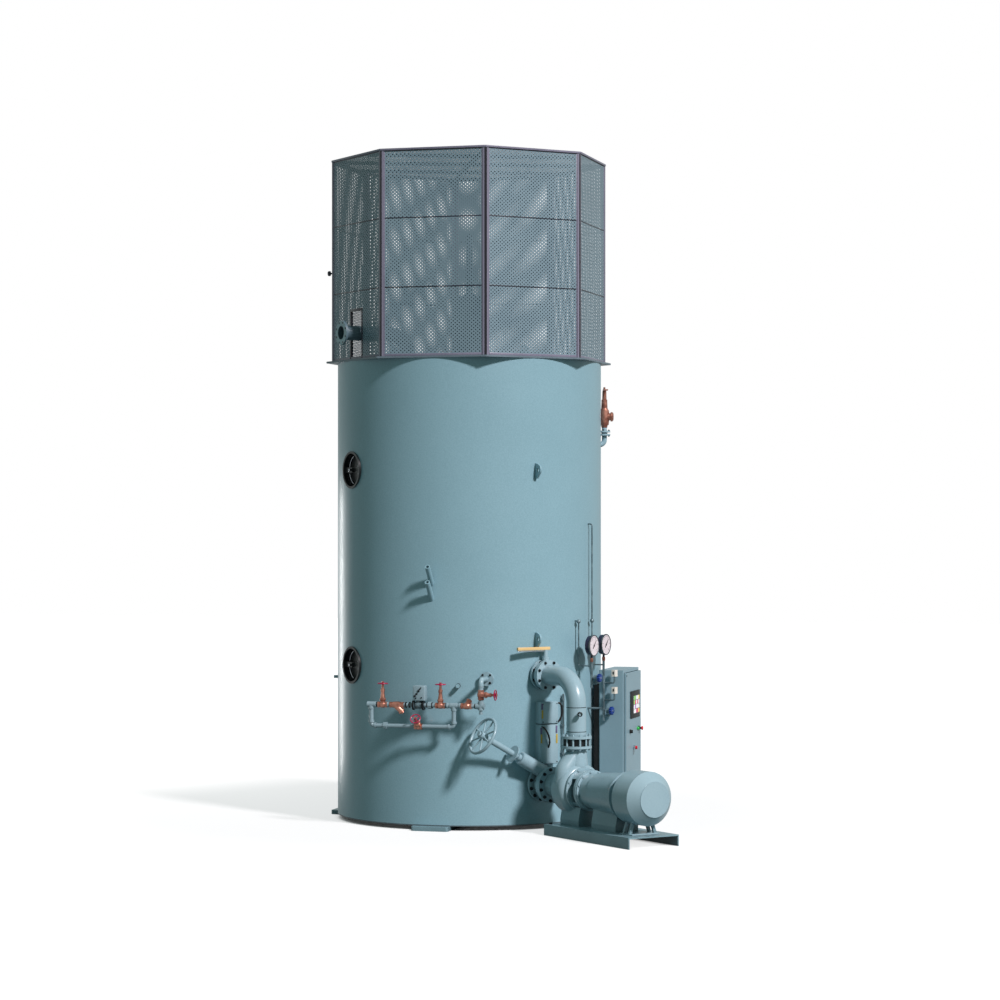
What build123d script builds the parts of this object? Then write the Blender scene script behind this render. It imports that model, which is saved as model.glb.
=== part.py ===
# Electrode steam boiler with a screened high-voltage cage, its circulation pump, feed trim and
# control cabinet. Millimetres, +Z up, the front (feed trim side) faces -Y. Angles round the
# boiler are measured from the front towards +X.

import os
from math import cos, radians, sin, sqrt, tan

from build123d import *

os.makedirs("parts", exist_ok=True)

# Base, jacket and inner vessel
base_height = 50
base_width = 430
base_overhang = 100
jacket_radius = 1550
jacket_wall = 60
jacket_top = 5335
jacket_floor_thickness = 12
vessel_gap = 240
vessel_wall = 22
vessel_bottom = 420
vessel_top = 5180
vessel_head_rise = 330
skirt_radius = 900
skirt_wall = 16

# Deck and cage
deck_thickness = 20
deck_overhang = 10
cage_setback = 60
cage_height = 2356
post_leg = 36
post_thickness = 5
panel_clearance = 9
panel_sheet = 3
panel_border = 30
panel_depth = 25
panel_rail = 12
mesh_across = 5
mesh_up = 9
mesh_open = 0.72
roof_sheet = 4
roof_beam_depth = 40
roof_beam_width = 34
roof_beam_pitch = 775
roof_beam_turn = 22.5
roof_overhang = 6
roof_mesh_bays = 3
roof_mesh_across = 12
door_gap = 5
door_clearance = 6
knob_drop = 0.45
knuckle_radius = 8
knuckle_height = 60
knuckle_standoff = 12
hinge_pin_radius = 4
pin_play = 0.4

# Electrode housing
housing_foot_radius = 235
housing_foot_thickness = 30
housing_radius = 200
housing_height = 715
housing_lid_radius = 225
housing_lid_thickness = 59
insulator_collar_radius = 90
insulator_collar_height = 24
insulator_radius = 46
insulator_length = 696

# Steam outlet
steam_angle = -45
steam_radius = 824
steam_rise = 300
steam_bend = 229
steam_pipe_radius = 84.15
steam_pipe_wall = 7.1
steam_flange_radius = 139.7
steam_flange_thickness = 25.4
steam_bolt_circle = 241.3
steam_bolt_count = 8
steam_bolt_radius = 11.1
steam_standoff = 190
steam_slot_width = 260
steam_slot_height = 555

# Manways
manway_angle = -45
manway_heights = (1827, 4076)
manway_hole_radius = 205
manway_neck_wall = 14
manway_ring_radius = 214
manway_ring_thickness = 14
manway_cover_recess = 70
manway_cover_thickness = 18
manway_yoke_width = 60
manway_yoke_thickness = 26
manway_bolt_radius = 16

# Circulation pump
pump_angle = 48
pump_axis_height = 515
pump_pipe_radius = 136.5
pump_flange_radius = 203
pump_flange_thickness = 36
suction_standoff = 10
suction_valve_length = 200
suction_nozzle_length = 345
volute_width = 280
volute_radius = 285
volute_fillet = 85
bracket_radius = 215
bracket_wall = 24
bracket_ring_radius = 228
bracket_ring_thickness = 40
bracket_length = 175
bracket_window_height = 260
motor_neck_radius = 195
motor_neck_length = 180
motor_start_radius = 214
motor_radius = 250
motor_rim_radius = 262
motor_rim_thickness = 30
motor_hub_radius = 190
motor_length = 695
fan_cover_radius = 293
fan_cover_length = 280
fan_cone_length = 105
fan_disc_radius = 191
fan_cover_gap = 95
baseplate_front = 15
baseplate_rear = 90
baseplate_width = 660
baseplate_height = 124
baseplate_wall = 14

# Suction valve stem
stem_tilt = 28.5
stem_lift = 112
bonnet_radius = 75
bonnet_neck_radius = 60
bonnet_start = 160
bonnet_length = 200
stem_radius = 26
sleeve_radius = 34
wheel_distance = 978
wheel_radius = 228
wheel_rim_radius = 13
wheel_hub_radius = 40
wheel_spokes = 8

# Discharge
discharge_height = 1748
discharge_bend = 305
discharge_pipe_radius = 109.55
discharge_flange_radius = 172
discharge_flange_thickness = 28
discharge_bolt_circle = 298.5
discharge_bolt_count = 8
neck_flange_bottom = 963
wafer_length = 81
wafer_bolt_clearance = 14
discharge_standoff = 20
discharge_valve_length = 110
lever_height = 285
lever_length = 380
lever_tail = 55
lever_width = 34
lever_thickness = 12

# Feed trim
feed_clearance = 194
feed_height = 1424
bypass_height = 1186
feed_pipe_radius = 24.15
fitting_radius = 33
feed_left = -649
feed_riser = 633
feed_nozzle_height = 1716
feed_flange_radius = 78
gate_valve_places = (-514, 163)
gate_wheel_rise = 236
trim_wheel_radius = 62
trim_wheel_rim = 6
trim_stem_radius = 7
strainer_start = -429
strainer_end = -264
control_valve_place = -88
union_place = 41
bypass_join = 319
check_valve_place = 467
stop_valve_height = 1551
stop_wheel_reach = 167
bypass_valve_place = -93
bypass_stem_lean = 53
bypass_wheel_reach = 155

# Control cabinet
cabinet_clearance = 85
cabinet_depth = 290
cabinet_front = -270
cabinet_width = 800
cabinet_top = 1765
cabinet_wall = 16
plinth_height = 100
plinth_inset = 20
cabinet_door_thickness = 22
cabinet_door_gap = 6
cabinet_door_margin = 15
screen_width = 505
screen_height = 297
screen_depth = 12
duct_width = 62
duct_depth = 60
duct_low = 180
duct_top = 1608
cabinet_arm_heights = (500, 1450)
cabinet_arm_side = 100
cabinet_arm_width = 60
cabinet_arm_depth = 50
screen_side = 82
screen_level = 1403
button_places = ((-89, 1095), (296, 1112), (128, 920))
button_radius = 20
button_rise = 24

# Gauges on their pipes
gauge_angle = 77
gauge_standoff = 184
gauge_height = 2065
gauge_radius = 121
gauge_depth = 62
gauge_offsets = (-248, 62)
manifold_radius = 14
tube_radius = 8
tube_standoff = 50
tube_angles = (67.4, 78.1)
tube_tops = (2343, 3453)
tube_low = 1832
ball_height = 2338
manifold_bottoms = (1585, 1190)
knob_heights = (1697, 1305)
knob_radius = 46
switch_heights = (1737, 1540)
switch_reach = 139
switch_width = 66
switch_depth = 52
switch_height = 75
gauge_neck = 45

# Lugs, stubs, safety valve and instrument boxes
lug_heights = (2143, 4055)
lug_reach = 170
lug_height = 120
lug_thickness = 20
deck_lug_setback = 200
stub_heights = (2619, 2792)
stub_radius = 30
stub_bore = 20
small_stub_radius = 17
capped_stub_place = (11.4, 1636)
drain_stub_place = (-74, 1651)
gauge_brace_height = 1330
safety_angle = 115
safety_standoff = 75
safety_inlet_height = 4391
safety_pipe_rise = 109
safety_pipe_radius = 30
safety_flange_radius = 70
box_angle = 47
box_shapes = ((1200, 1455, 250, 110), (830, 1192, 270, 100))


def outward(angle):
    """The level direction at an angle round the boiler."""
    return Vector(sin(radians(angle)), -cos(radians(angle)), 0)


def facing(angle, reach, height):
    """A plane that faces outward, with X along the tangent and Y up."""
    along = Vector(cos(radians(angle)), sin(radians(angle)), 0)
    return Plane(origin=outward(angle) * reach + Vector(0, 0, height), x_dir=along, z_dir=outward(angle))


def turned(plane, profile):
    """A turned solid about the plane's Z from (distance, radius) pairs."""
    section = Plane(origin=plane.origin, x_dir=plane.x_dir, z_dir=-plane.y_dir)
    outline = [(0, profile[0][0])] + [(radius, place) for place, radius in profile] + [(0, profile[-1][0])]
    with BuildPart() as body:
        with BuildSketch(section):
            with BuildLine():
                Polyline(*outline, close=True)
            make_face()
        revolve(axis=Axis(plane.origin, plane.z_dir))
    return body.part


def disc(plane, radius, thickness, bore=0):
    """A flat disc standing on a plane."""
    with BuildPart() as plate:
        with BuildSketch(plane):
            Circle(radius)
            if bore:
                Circle(bore, mode=Mode.SUBTRACT)
        extrude(amount=thickness)
    return plate.part


def pipe_run(points, bend, radius, bore=0):
    """A pipe along straight runs joined by bends."""
    with BuildPart() as pipe:
        with BuildLine() as route:
            if len(points) > 2:
                FilletPolyline(*points, radius=bend)
            else:
                Line(*points)
        with BuildSketch(Plane(origin=route.line @ 0, z_dir=route.line % 0)):
            Circle(radius)
            if bore:
                Circle(bore, mode=Mode.SUBTRACT)
        sweep()
    return pipe.part


def block(low, high):
    """A box between two corners."""
    size = [b - a for a, b in zip(low, high)]
    centre = [(a + b) / 2 for a, b in zip(low, high)]
    with BuildPart() as solid:
        with Locations(tuple(centre)):
            Box(*size)
    return solid.part


def handwheel(plane, radius, rim, hub, hub_height, bore, spokes, spoke_radius):
    """A spoked handwheel about the plane's Z, centred on the plane."""
    with BuildPart() as wheel:
        with BuildSketch(Plane(origin=plane.origin, x_dir=plane.x_dir, z_dir=-plane.y_dir)):
            with Locations((radius - rim, 0)):
                RegularPolygon(rim, 10)
        revolve(axis=Axis(plane.origin, plane.z_dir))
        with BuildSketch(plane.offset(-hub_height / 2)):
            Circle(hub)
        extrude(amount=hub_height)
        for turn in range(spokes):
            angle = radians(360 * (turn + 0.5) / spokes)
            arm = plane.x_dir * cos(angle) + plane.y_dir * sin(angle)
            with BuildSketch(Plane(origin=plane.origin, x_dir=plane.z_dir, z_dir=arm)):
                Circle(spoke_radius)
            extrude(amount=radius - rim)
        with BuildSketch(plane.offset(-hub_height)):
            Circle(bore)
        extrude(amount=2 * hub_height, mode=Mode.SUBTRACT)
    return wheel.part


def save(builder, name):
    builder.part.label = name
    export_step(builder.part, f"parts/{name}.step")


# Places that follow from the sizes above
deck_level = jacket_top + deck_thickness
base_reach = jacket_radius + base_overhang
vessel_radius = jacket_radius - jacket_wall - vessel_gap
cage_apothem = jacket_radius + deck_overhang - cage_setback
panel_face = cage_apothem - post_thickness
panel_half_width = (panel_face - panel_depth) * tan(radians(22.5)) - panel_clearance
steam_face_reach = cage_apothem + steam_standoff
suction_face = jacket_radius + suction_standoff
suction_end = suction_face + suction_valve_length
volute_start = suction_end + suction_nozzle_length
volute_end = volute_start + volute_width
motor_start = volute_end + bracket_length
motor_end = motor_start + motor_length
fan_cover_start = motor_end + fan_cover_gap
baseplate_start = volute_start - baseplate_front
baseplate_end = fan_cover_start + fan_cover_length + baseplate_rear
discharge_radius_out = volute_start + volute_width / 2
discharge_valve_face = jacket_radius + discharge_standoff
discharge_face = discharge_valve_face + discharge_valve_length
wafer_low = neck_flange_bottom + discharge_flange_thickness
wafer_high = wafer_low + wafer_length
neck_flange_top = wafer_high + discharge_flange_thickness
feed_standoff = jacket_radius + feed_clearance
cabinet_left = jacket_radius + cabinet_clearance
gauge_reach = jacket_radius + gauge_standoff
safety_reach = jacket_radius + safety_standoff
safety_flange_height = safety_inlet_height + safety_pipe_rise
jacket_bottom = base_height + jacket_floor_thickness
cage_corner = cage_apothem / cos(radians(22.5))
door_hinge_heights = (cage_height * 0.12, cage_height * 0.5, cage_height * 0.88)
jacket_envelope = disc(Plane.XY, jacket_radius, 2 * jacket_top)
vessel_envelope = disc(Plane.XY, vessel_radius, 2 * jacket_top)

# The two crossing base beams, whose ends show as four feet
with BuildPart() as base_frame:
    with BuildSketch():
        Rectangle(base_width, 2 * base_reach)
        Rectangle(2 * base_reach, base_width)
    extrude(amount=base_height)
    chamfer(base_frame.edges().filter_by(Axis.Z).sort_by(lambda e: abs(e.center().X) + abs(e.center().Y))[4:], 20)
save(base_frame, "base_frame")

with BuildPart() as jacket_floor:
    with BuildSketch(Plane.XY.offset(base_height)):
        Circle(jacket_radius)
    extrude(amount=jacket_floor_thickness)
save(jacket_floor, "jacket_floor")

with BuildPart() as jacket_shell:
    with BuildSketch(Plane.XY.offset(jacket_bottom)):
        Circle(jacket_radius)
        Circle(jacket_radius - jacket_wall, mode=Mode.SUBTRACT)
    extrude(amount=jacket_top - jacket_bottom)
    for height in manway_heights:
        with BuildSketch(facing(manway_angle, jacket_radius - 3 * jacket_wall, height)):
            Circle(manway_hole_radius)
        extrude(amount=4 * jacket_wall, mode=Mode.SUBTRACT)
save(jacket_shell, "jacket_shell")

# The pressure vessel stands on a skirt inside the jacket; its domed ends are turned in short cones
def dome(radius, rise, seam, way):
    """(height, radius) pairs of a domed end, from its seam to its crown."""
    return [(seam + way * rise * sin(radians(turn)), radius * cos(radians(turn))) for turn in range(0, 90, 12)]


low_seam = vessel_bottom + vessel_head_rise
high_seam = vessel_top - vessel_head_rise
with BuildPart() as pressure_vessel:
    add(turned(Plane.XY, dome(vessel_radius, vessel_head_rise, low_seam, -1)[::-1]
               + dome(vessel_radius, vessel_head_rise, high_seam, 1)))
    add(disc(Plane.XY.offset(jacket_bottom), skirt_radius, low_seam - jacket_bottom))
    add(disc(Plane.XY.offset(jacket_bottom), skirt_radius - skirt_wall,
             vessel_bottom + 80 - jacket_bottom), mode=Mode.SUBTRACT)
    add(turned(Plane.XY, dome(vessel_radius, vessel_head_rise, low_seam, -1)[::-1]
               + dome(vessel_radius, vessel_head_rise, high_seam, 1)))
    add(turned(Plane.XY, dome(vessel_radius - vessel_wall, vessel_head_rise - vessel_wall, low_seam, -1)[::-1]
               + dome(vessel_radius - vessel_wall, vessel_head_rise - vessel_wall, high_seam, 1)),
        mode=Mode.SUBTRACT)
save(pressure_vessel, "pressure_vessel")

# Each manway: a neck from the vessel to the jacket, a cover inside it, a yoke across it
manway_neck_parts = []
manway_cover_parts = []
manway_yoke_parts = []
neck_radius = manway_hole_radius - 1
neck_bore = neck_radius - manway_neck_wall
for height in manway_heights:
    start = facing(manway_angle, vessel_radius - 100, height)
    length = jacket_radius - vessel_radius + 100
    neck = disc(start, neck_radius, length, neck_bore) - vessel_envelope
    ring = disc(start, manway_ring_radius, length + manway_ring_thickness, neck_bore) - jacket_envelope
    manway_neck_parts.append(neck + ring)
    face = facing(manway_angle, jacket_radius - manway_cover_recess, height)
    manway_cover_parts.append(turned(face, [
        (-3 * manway_cover_thickness, neck_bore - 40),
        (-manway_cover_thickness, neck_bore - 0.2),
        (0, neck_bore - 0.2),
        (0, neck_bore - 30),
        (6, neck_bore - 40)]))
    with BuildPart() as yoke:
        with BuildSketch(face.offset(30)):
            Rectangle(2 * sqrt((neck_radius + 10) ** 2 - (manway_yoke_width / 2) ** 2), manway_yoke_width)
        extrude(amount=manway_yoke_thickness)
        with BuildSketch(face.offset(6)):
            Circle(manway_bolt_radius)
        extrude(amount=manway_yoke_thickness + 70)
        with BuildSketch(face.offset(30 + manway_yoke_thickness)):
            RegularPolygon(manway_bolt_radius * 2, 6)
        extrude(amount=24)
        with BuildSketch(face):
            Circle(neck_bore - 0.2)
        extrude(amount=200, mode=Mode.INTERSECT)
    manway_yoke_parts.append(yoke.part)

with BuildPart() as manway_necks:
    add(manway_neck_parts)
save(manway_necks, "manway_necks")
with BuildPart() as manway_covers:
    add(manway_cover_parts)
save(manway_covers, "manway_covers")
with BuildPart() as manway_yokes:
    add(manway_yoke_parts)
save(manway_yokes, "manway_yokes")

with BuildPart() as deck_plate:
    with BuildSketch(Plane.XY.offset(jacket_top)):
        RegularPolygon(jacket_radius + deck_overhang, 8, major_radius=False, rotation=22.5)
    extrude(amount=deck_thickness)
save(deck_plate, "deck_plate")

# Cage posts are angles folded over the octagon's corners
with BuildPart() as cage_posts:
    with BuildSketch(Plane.XY.offset(deck_level)):
        with PolarLocations(cage_corner, 8, start_angle=22.5):
            Circle(post_leg)
        RegularPolygon(cage_apothem, 8, major_radius=False, rotation=22.5, mode=Mode.INTERSECT)
        RegularPolygon(cage_apothem - post_thickness, 8, major_radius=False, rotation=22.5, mode=Mode.SUBTRACT)
    extrude(amount=cage_height)
    # The rear door post carries the fixed knuckles and the pins of the hinges
    post_edge = cage_apothem * tan(radians(22.5)) - post_leg
    hinge_line = facing(-90, cage_apothem + knuckle_standoff, deck_level)
    hinge_spot = hinge_line.origin - hinge_line.x_dir * (post_edge - door_gap / 2)
    for height in door_hinge_heights:
        knuckle_low = height - knuckle_height / 2 - 1 - knuckle_height / 2
        for start in (knuckle_low, height + knuckle_height / 2 + 1):
            add(disc(Plane(origin=hinge_spot + Vector(0, 0, start)), knuckle_radius, knuckle_height / 2))
            with BuildSketch(Plane(origin=hinge_spot + Vector(0, 0, start))):
                Rectangle(knuckle_standoff, 28, align=(Align.MIN, Align.MIN))
            extrude(amount=knuckle_height / 2)
        add(disc(Plane(origin=hinge_spot + Vector(0, 0, knuckle_low)), hinge_pin_radius,
                 2 * knuckle_height + 2))
save(cage_posts, "cage_posts")


def cage_panel(angle, half_width, outer):
    """A screen panel with its border, two rails and an open sheet, between the deck and the roof."""
    back = facing(angle, outer - panel_depth, deck_level)
    with BuildPart() as panel:
        with BuildSketch(back):
            with Locations((0, cage_height / 2)):
                Rectangle(2 * half_width, cage_height)
                Rectangle(2 * (half_width - panel_border), cage_height - 2 * panel_border, mode=Mode.SUBTRACT)
            with Locations((0, cage_height / 3), (0, 2 * cage_height / 3)):
                Rectangle(2 * half_width, panel_rail)
        extrude(amount=panel_depth)
        bay_width = 2 * (half_width - panel_border) / mesh_across
        bay_height = (cage_height - 2 * panel_border) / mesh_up
        with BuildSketch(back.offset(panel_depth - panel_sheet)):
            with Locations((0, cage_height / 2)):
                Rectangle(2 * half_width, cage_height)
                with GridLocations(bay_width, bay_height, mesh_across, mesh_up):
                    Rectangle(bay_width * mesh_open, bay_height * mesh_open, mode=Mode.SUBTRACT)
        extrude(amount=panel_sheet)
    return panel.part


for name, angles in (("front", [0]), ("front_right", [45]), ("right", [90]), ("rear", [135, 180, 225])):
    with BuildPart() as screen_panel:
        add([cage_panel(angle, panel_half_width, panel_face) for angle in angles])
    save(screen_panel, f"cage_panel_{name}")

# The panel over the steam outlet has a framed slot up from the deck
with BuildPart() as slotted_panel:
    add(cage_panel(steam_angle, panel_half_width, panel_face))
    slot_plane = facing(steam_angle, panel_face - panel_depth, deck_level)
    with BuildSketch(slot_plane):
        with Locations((0, (steam_slot_height + panel_border) / 2)):
            Rectangle(steam_slot_width + 2 * panel_border, steam_slot_height + panel_border)
    extrude(amount=panel_depth)
    with BuildSketch(slot_plane):
        with Locations((0, steam_slot_height / 2)):
            Rectangle(steam_slot_width, steam_slot_height)
    extrude(amount=panel_depth, mode=Mode.SUBTRACT)
save(slotted_panel, "cage_panel_front_left")

# The cage door hangs between the post legs and swings outward
door_half_width = post_edge - door_gap
knob_place = door_half_width - 60
with BuildPart() as cage_door:
    add(cage_panel(-90, door_half_width, cage_apothem))
    with BuildSketch(facing(-90, cage_apothem - 2 * panel_depth, deck_level)):
        with Locations((0, 0), (0, cage_height)):
            Rectangle(3 * door_half_width, 2 * door_clearance)
    extrude(amount=4 * panel_depth, mode=Mode.SUBTRACT)
    knob_plane = facing(-90, cage_apothem, deck_level + cage_height * knob_drop)
    knob_foot = Plane(origin=knob_plane.origin + knob_plane.x_dir * knob_place, z_dir=knob_plane.z_dir)
    add(turned(knob_foot, [(-panel_sheet, 9), (45, 9), (45, 26), (62, 26), (66, 20)]))
    for height in door_hinge_heights:
        leaf_low = Plane(origin=hinge_spot + Vector(0, 0, height - knuckle_height / 2))
        with BuildSketch(leaf_low):
            with Locations((0, -door_gap / 2)):
                Rectangle(knuckle_standoff, 38, align=(Align.MIN, Align.MAX))
        extrude(amount=knuckle_height)
        with BuildSketch(leaf_low):
            Circle(knuckle_radius)
        extrude(amount=knuckle_height)
        with BuildSketch(leaf_low):
            Circle(hinge_pin_radius + pin_play)
        extrude(amount=knuckle_height, mode=Mode.SUBTRACT)
save(cage_door, "cage_door")

# The roof: a screen sheet on a spine and three cross beams, with an edge angle
roof_level = deck_level + cage_height
with BuildPart() as cage_roof:
    with BuildSketch(Plane.XY.offset(roof_level)):
        RegularPolygon(cage_apothem + roof_overhang, 8, major_radius=False, rotation=22.5)
    extrude(amount=roof_sheet)
    inner_apothem = panel_face - panel_depth - 1
    roof_bay = roof_beam_pitch / roof_mesh_bays
    with BuildSketch(Plane.XY.offset(roof_level)):
        with Locations(Location((0, 0, 0), (0, 0, roof_beam_turn))):
            with GridLocations(roof_bay, roof_bay, roof_mesh_across, roof_mesh_across):
                Rectangle(roof_bay * mesh_open, roof_bay * mesh_open)
        RegularPolygon(inner_apothem - panel_border, 8, major_radius=False, rotation=22.5, mode=Mode.INTERSECT)
    extrude(amount=roof_sheet, mode=Mode.SUBTRACT)
    with BuildSketch(Plane.XY.offset(roof_level - roof_beam_depth)):
        with Locations(Location((0, 0, 0), (0, 0, roof_beam_turn))):
            with Locations((0, -roof_beam_pitch), (0, 0), (0, roof_beam_pitch)):
                Rectangle(3 * cage_apothem, roof_beam_width)
            Rectangle(roof_beam_width, 3 * cage_apothem)
        RegularPolygon(inner_apothem, 8, major_radius=False, rotation=22.5, mode=Mode.INTERSECT)
    extrude(amount=roof_beam_depth)
save(cage_roof, "cage_roof")

# Electrode housing on the deck inside the cage
with BuildPart() as electrode_housing:
    lid_top = housing_height + housing_lid_thickness
    collar_top = lid_top + insulator_collar_height
    add(turned(Plane.XY.offset(deck_level), [
        (0, housing_foot_radius), (housing_foot_thickness, housing_foot_radius),
        (housing_foot_thickness, housing_radius), (housing_height, housing_radius),
        (housing_height, housing_lid_radius), (lid_top, housing_lid_radius), (lid_top, insulator_collar_radius),
        (collar_top, insulator_collar_radius), (collar_top, insulator_radius),
        (collar_top + insulator_length, insulator_radius),
        (collar_top + insulator_length + 23, insulator_radius - 16)]))
save(electrode_housing, "electrode_housing")

# Steam outlet: up through the deck, round a bend and out through the slotted panel
with BuildPart() as steam_outlet:
    foot = outward(steam_angle) * steam_radius + Vector(0, 0, deck_level)
    corner = foot + Vector(0, 0, steam_rise)
    mouth = outward(steam_angle) * (steam_face_reach - steam_flange_thickness) + Vector(0, 0, deck_level + steam_rise)
    steam_bore = steam_pipe_radius - steam_pipe_wall
    add(pipe_run([foot, corner, mouth], steam_bend, steam_pipe_radius, steam_bore))
    flange_plane = facing(steam_angle, steam_face_reach - steam_flange_thickness, deck_level + steam_rise)
    with BuildSketch(flange_plane):
        Circle(steam_flange_radius)
        Circle(steam_bore, mode=Mode.SUBTRACT)
        with PolarLocations(steam_bolt_circle / 2, steam_bolt_count, start_angle=22.5):
            Circle(steam_bolt_radius, mode=Mode.SUBTRACT)
    extrude(amount=steam_flange_thickness)
    with BuildSketch(Plane.XY.offset(deck_level)):
        with Locations((foot.X, foot.Y)):
            Circle(steam_pipe_radius + 50)
            Circle(steam_pipe_radius - 1, mode=Mode.SUBTRACT)
    extrude(amount=16)
save(steam_outlet, "steam_outlet")


def lug(plane, height, reach, thickness):
    """A rounded lifting lug with an eye, standing off a plane along its Z."""
    side = Plane(origin=plane.origin, x_dir=plane.z_dir, z_dir=-plane.x_dir)
    with BuildPart() as eye:
        with BuildSketch(side):
            with BuildLine():
                Polyline((-20, -height / 2), (reach * 0.35, -height / 2), (reach * 0.9, -height * 0.12))
                ThreePointArc((reach * 0.9, -height * 0.12), (reach, height * 0.1), (reach * 0.8, height * 0.36))
                Polyline((reach * 0.8, height * 0.36), (reach * 0.35, height / 2), (-20, height / 2), (-20, -height / 2))
            make_face()
            with Locations((reach * 0.55, height * 0.06)):
                Circle(height * 0.13, mode=Mode.SUBTRACT)
        extrude(amount=thickness / 2, both=True)
    return eye.part


with BuildPart() as lifting_lugs:
    for height in lug_heights:
        for angle in (45, 225):
            add(lug(facing(angle, jacket_radius, height), lug_reach, lug_height, lug_thickness))
    add(jacket_envelope, mode=Mode.SUBTRACT)
    spot = outward(45) * (cage_apothem - deck_lug_setback)
    with BuildSketch(Plane(origin=spot + Vector(0, 0, deck_level), x_dir=outward(135), z_dir=outward(45))):
        with BuildLine():
            Polyline((-80, 0), (-80, 20), (-40, 100))
            ThreePointArc((-40, 100), (0, 140), (40, 100))
            Polyline((40, 100), (80, 20), (80, 0), (-80, 0))
        make_face()
        with Locations((0, 92)):
            Circle(20, mode=Mode.SUBTRACT)
    extrude(amount=lug_thickness / 2, both=True)
save(lifting_lugs, "lifting_lugs")

# Small stubs on the jacket: two angled tubes at the front, a capped one, a drain one at the left
with BuildPart() as jacket_stubs:
    for height in stub_heights:
        root = outward(0) * (jacket_radius - 40) + Vector(0, 0, height - 40)
        tip = outward(0) * (jacket_radius + 165) + Vector(0, 0, height + 185)
        add(pipe_run([root, tip], 0, stub_radius, stub_bore))
    capped_angle, capped_height = capped_stub_place
    drain_angle, drain_height = drain_stub_place
    add(disc(facing(capped_angle, jacket_radius - 30, capped_height), small_stub_radius, 110))
    add(disc(facing(capped_angle, jacket_radius + 62, capped_height), small_stub_radius + 6, 30))
    add(disc(facing(drain_angle, jacket_radius - 30, drain_height), small_stub_radius, 78))
    add(jacket_envelope, mode=Mode.SUBTRACT)
save(jacket_stubs, "jacket_stubs")

# Safety valve on its elbow at the right
with BuildPart() as safety_pipe:
    safety_axis = outward(safety_angle) * safety_reach
    start = outward(safety_angle) * (jacket_radius - 30) + Vector(0, 0, safety_inlet_height)
    bend_at = safety_axis + Vector(0, 0, safety_inlet_height)
    top = safety_axis + Vector(0, 0, safety_flange_height)
    add(pipe_run([start, bend_at, top], 60, safety_pipe_radius))
    add(disc(facing(safety_angle, jacket_radius - 30, safety_inlet_height), safety_pipe_radius + 16, 45))
    add(turned(Plane(origin=top), [
        (0, safety_flange_radius), (20, safety_flange_radius), (20, 36), (38, 36), (38, safety_flange_radius),
        (58, safety_flange_radius), (58, safety_pipe_radius), (95, safety_pipe_radius)]))
    add(jacket_envelope, mode=Mode.SUBTRACT)
save(safety_pipe, "safety_pipe")

with BuildPart() as safety_valve:
    add(turned(Plane(origin=top + Vector(0, 0, 95)), [
        (0, 34), (30, 40), (30, 50), (60, 56), (200, 56), (215, 46), (230, 38), (330, 34), (336, 26),
        (430, 24), (440, 14), (480, 12)]))
    outlet = Plane(origin=top + Vector(0, 0, 224), z_dir=outward(safety_angle - 9))
    add(turned(outlet, [(0, 44), (74, 44), (74, 56), (96, 56), (108, 40)]))
    with BuildSketch(Plane(origin=top + Vector(0, 0, 540), z_dir=outward(safety_angle - 90))):
        Rectangle(44, 16)
    extrude(amount=110)
save(safety_valve, "safety_valve")

# Feed trim: all fittings lie in one plane in front of the jacket


def trim_point(place, height):
    return Vector(place, -feed_standoff, height)


def along_x(place, height):
    """A plane across the feed line that faces +X."""
    return Plane(origin=trim_point(place, height), x_dir=(0, 1, 0), z_dir=(1, 0, 0))


def upright(place, height):
    """A plane across a riser that faces up."""
    return Plane(origin=trim_point(place, height))


def collar(plane, length=26, radius=fitting_radius):
    """A pipe fitting's collar, centred on a plane."""
    return disc(plane.offset(-length / 2), radius, length)


def fitting_ends(place, height, half):
    """The two hexagon ends of a valve body in the feed line."""
    with BuildPart() as ends:
        for start in (place - half, place + half - 22):
            with BuildSketch(along_x(start, height)):
                RegularPolygon(fitting_radius + 4, 6)
            extrude(amount=22)
    return ends.part


nozzle_y = -sqrt(jacket_radius ** 2 - feed_riser ** 2)
gate_half = 56
with BuildPart() as feed_line:
    runs = [(feed_left, gate_valve_places[0] - gate_half), (gate_valve_places[0] + gate_half, strainer_start),
            (strainer_end, control_valve_place - 62), (control_valve_place + 62, gate_valve_places[1] - gate_half),
            (gate_valve_places[1] + gate_half, check_valve_place - 62), (check_valve_place + 62, feed_riser)]
    for start, end in runs:
        add(disc(along_x(start, feed_height), feed_pipe_radius, end - start))
    add(disc(along_x(feed_left - 45, feed_height), fitting_radius, 80))
    add(disc(upright(feed_left, feed_height - 45), fitting_radius, 45))
    add(disc(upright(feed_left, bypass_height + 110), feed_pipe_radius, feed_height - bypass_height - 110))
    with BuildSketch(along_x(union_place - 22, feed_height)):
        RegularPolygon(fitting_radius + 8, 8)
    extrude(amount=44)
    for place in (bypass_join, feed_riser):
        add(collar(along_x(place, feed_height), 84))
    add(disc(upright(bypass_join, feed_height - 42), fitting_radius, 42))
    add(disc(upright(bypass_join, bypass_height + 110), feed_pipe_radius, feed_height - bypass_height - 110))
    add(collar(upright(feed_riser, feed_height), 90))
    add(disc(upright(feed_riser, feed_height - 78), 17, 60))
    add(disc(upright(feed_riser, feed_height - 90), 22, 16))
    add(disc(upright(feed_riser, feed_height), feed_pipe_radius, stop_valve_height - 56 - feed_height))
save(feed_line, "feed_line")

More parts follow.
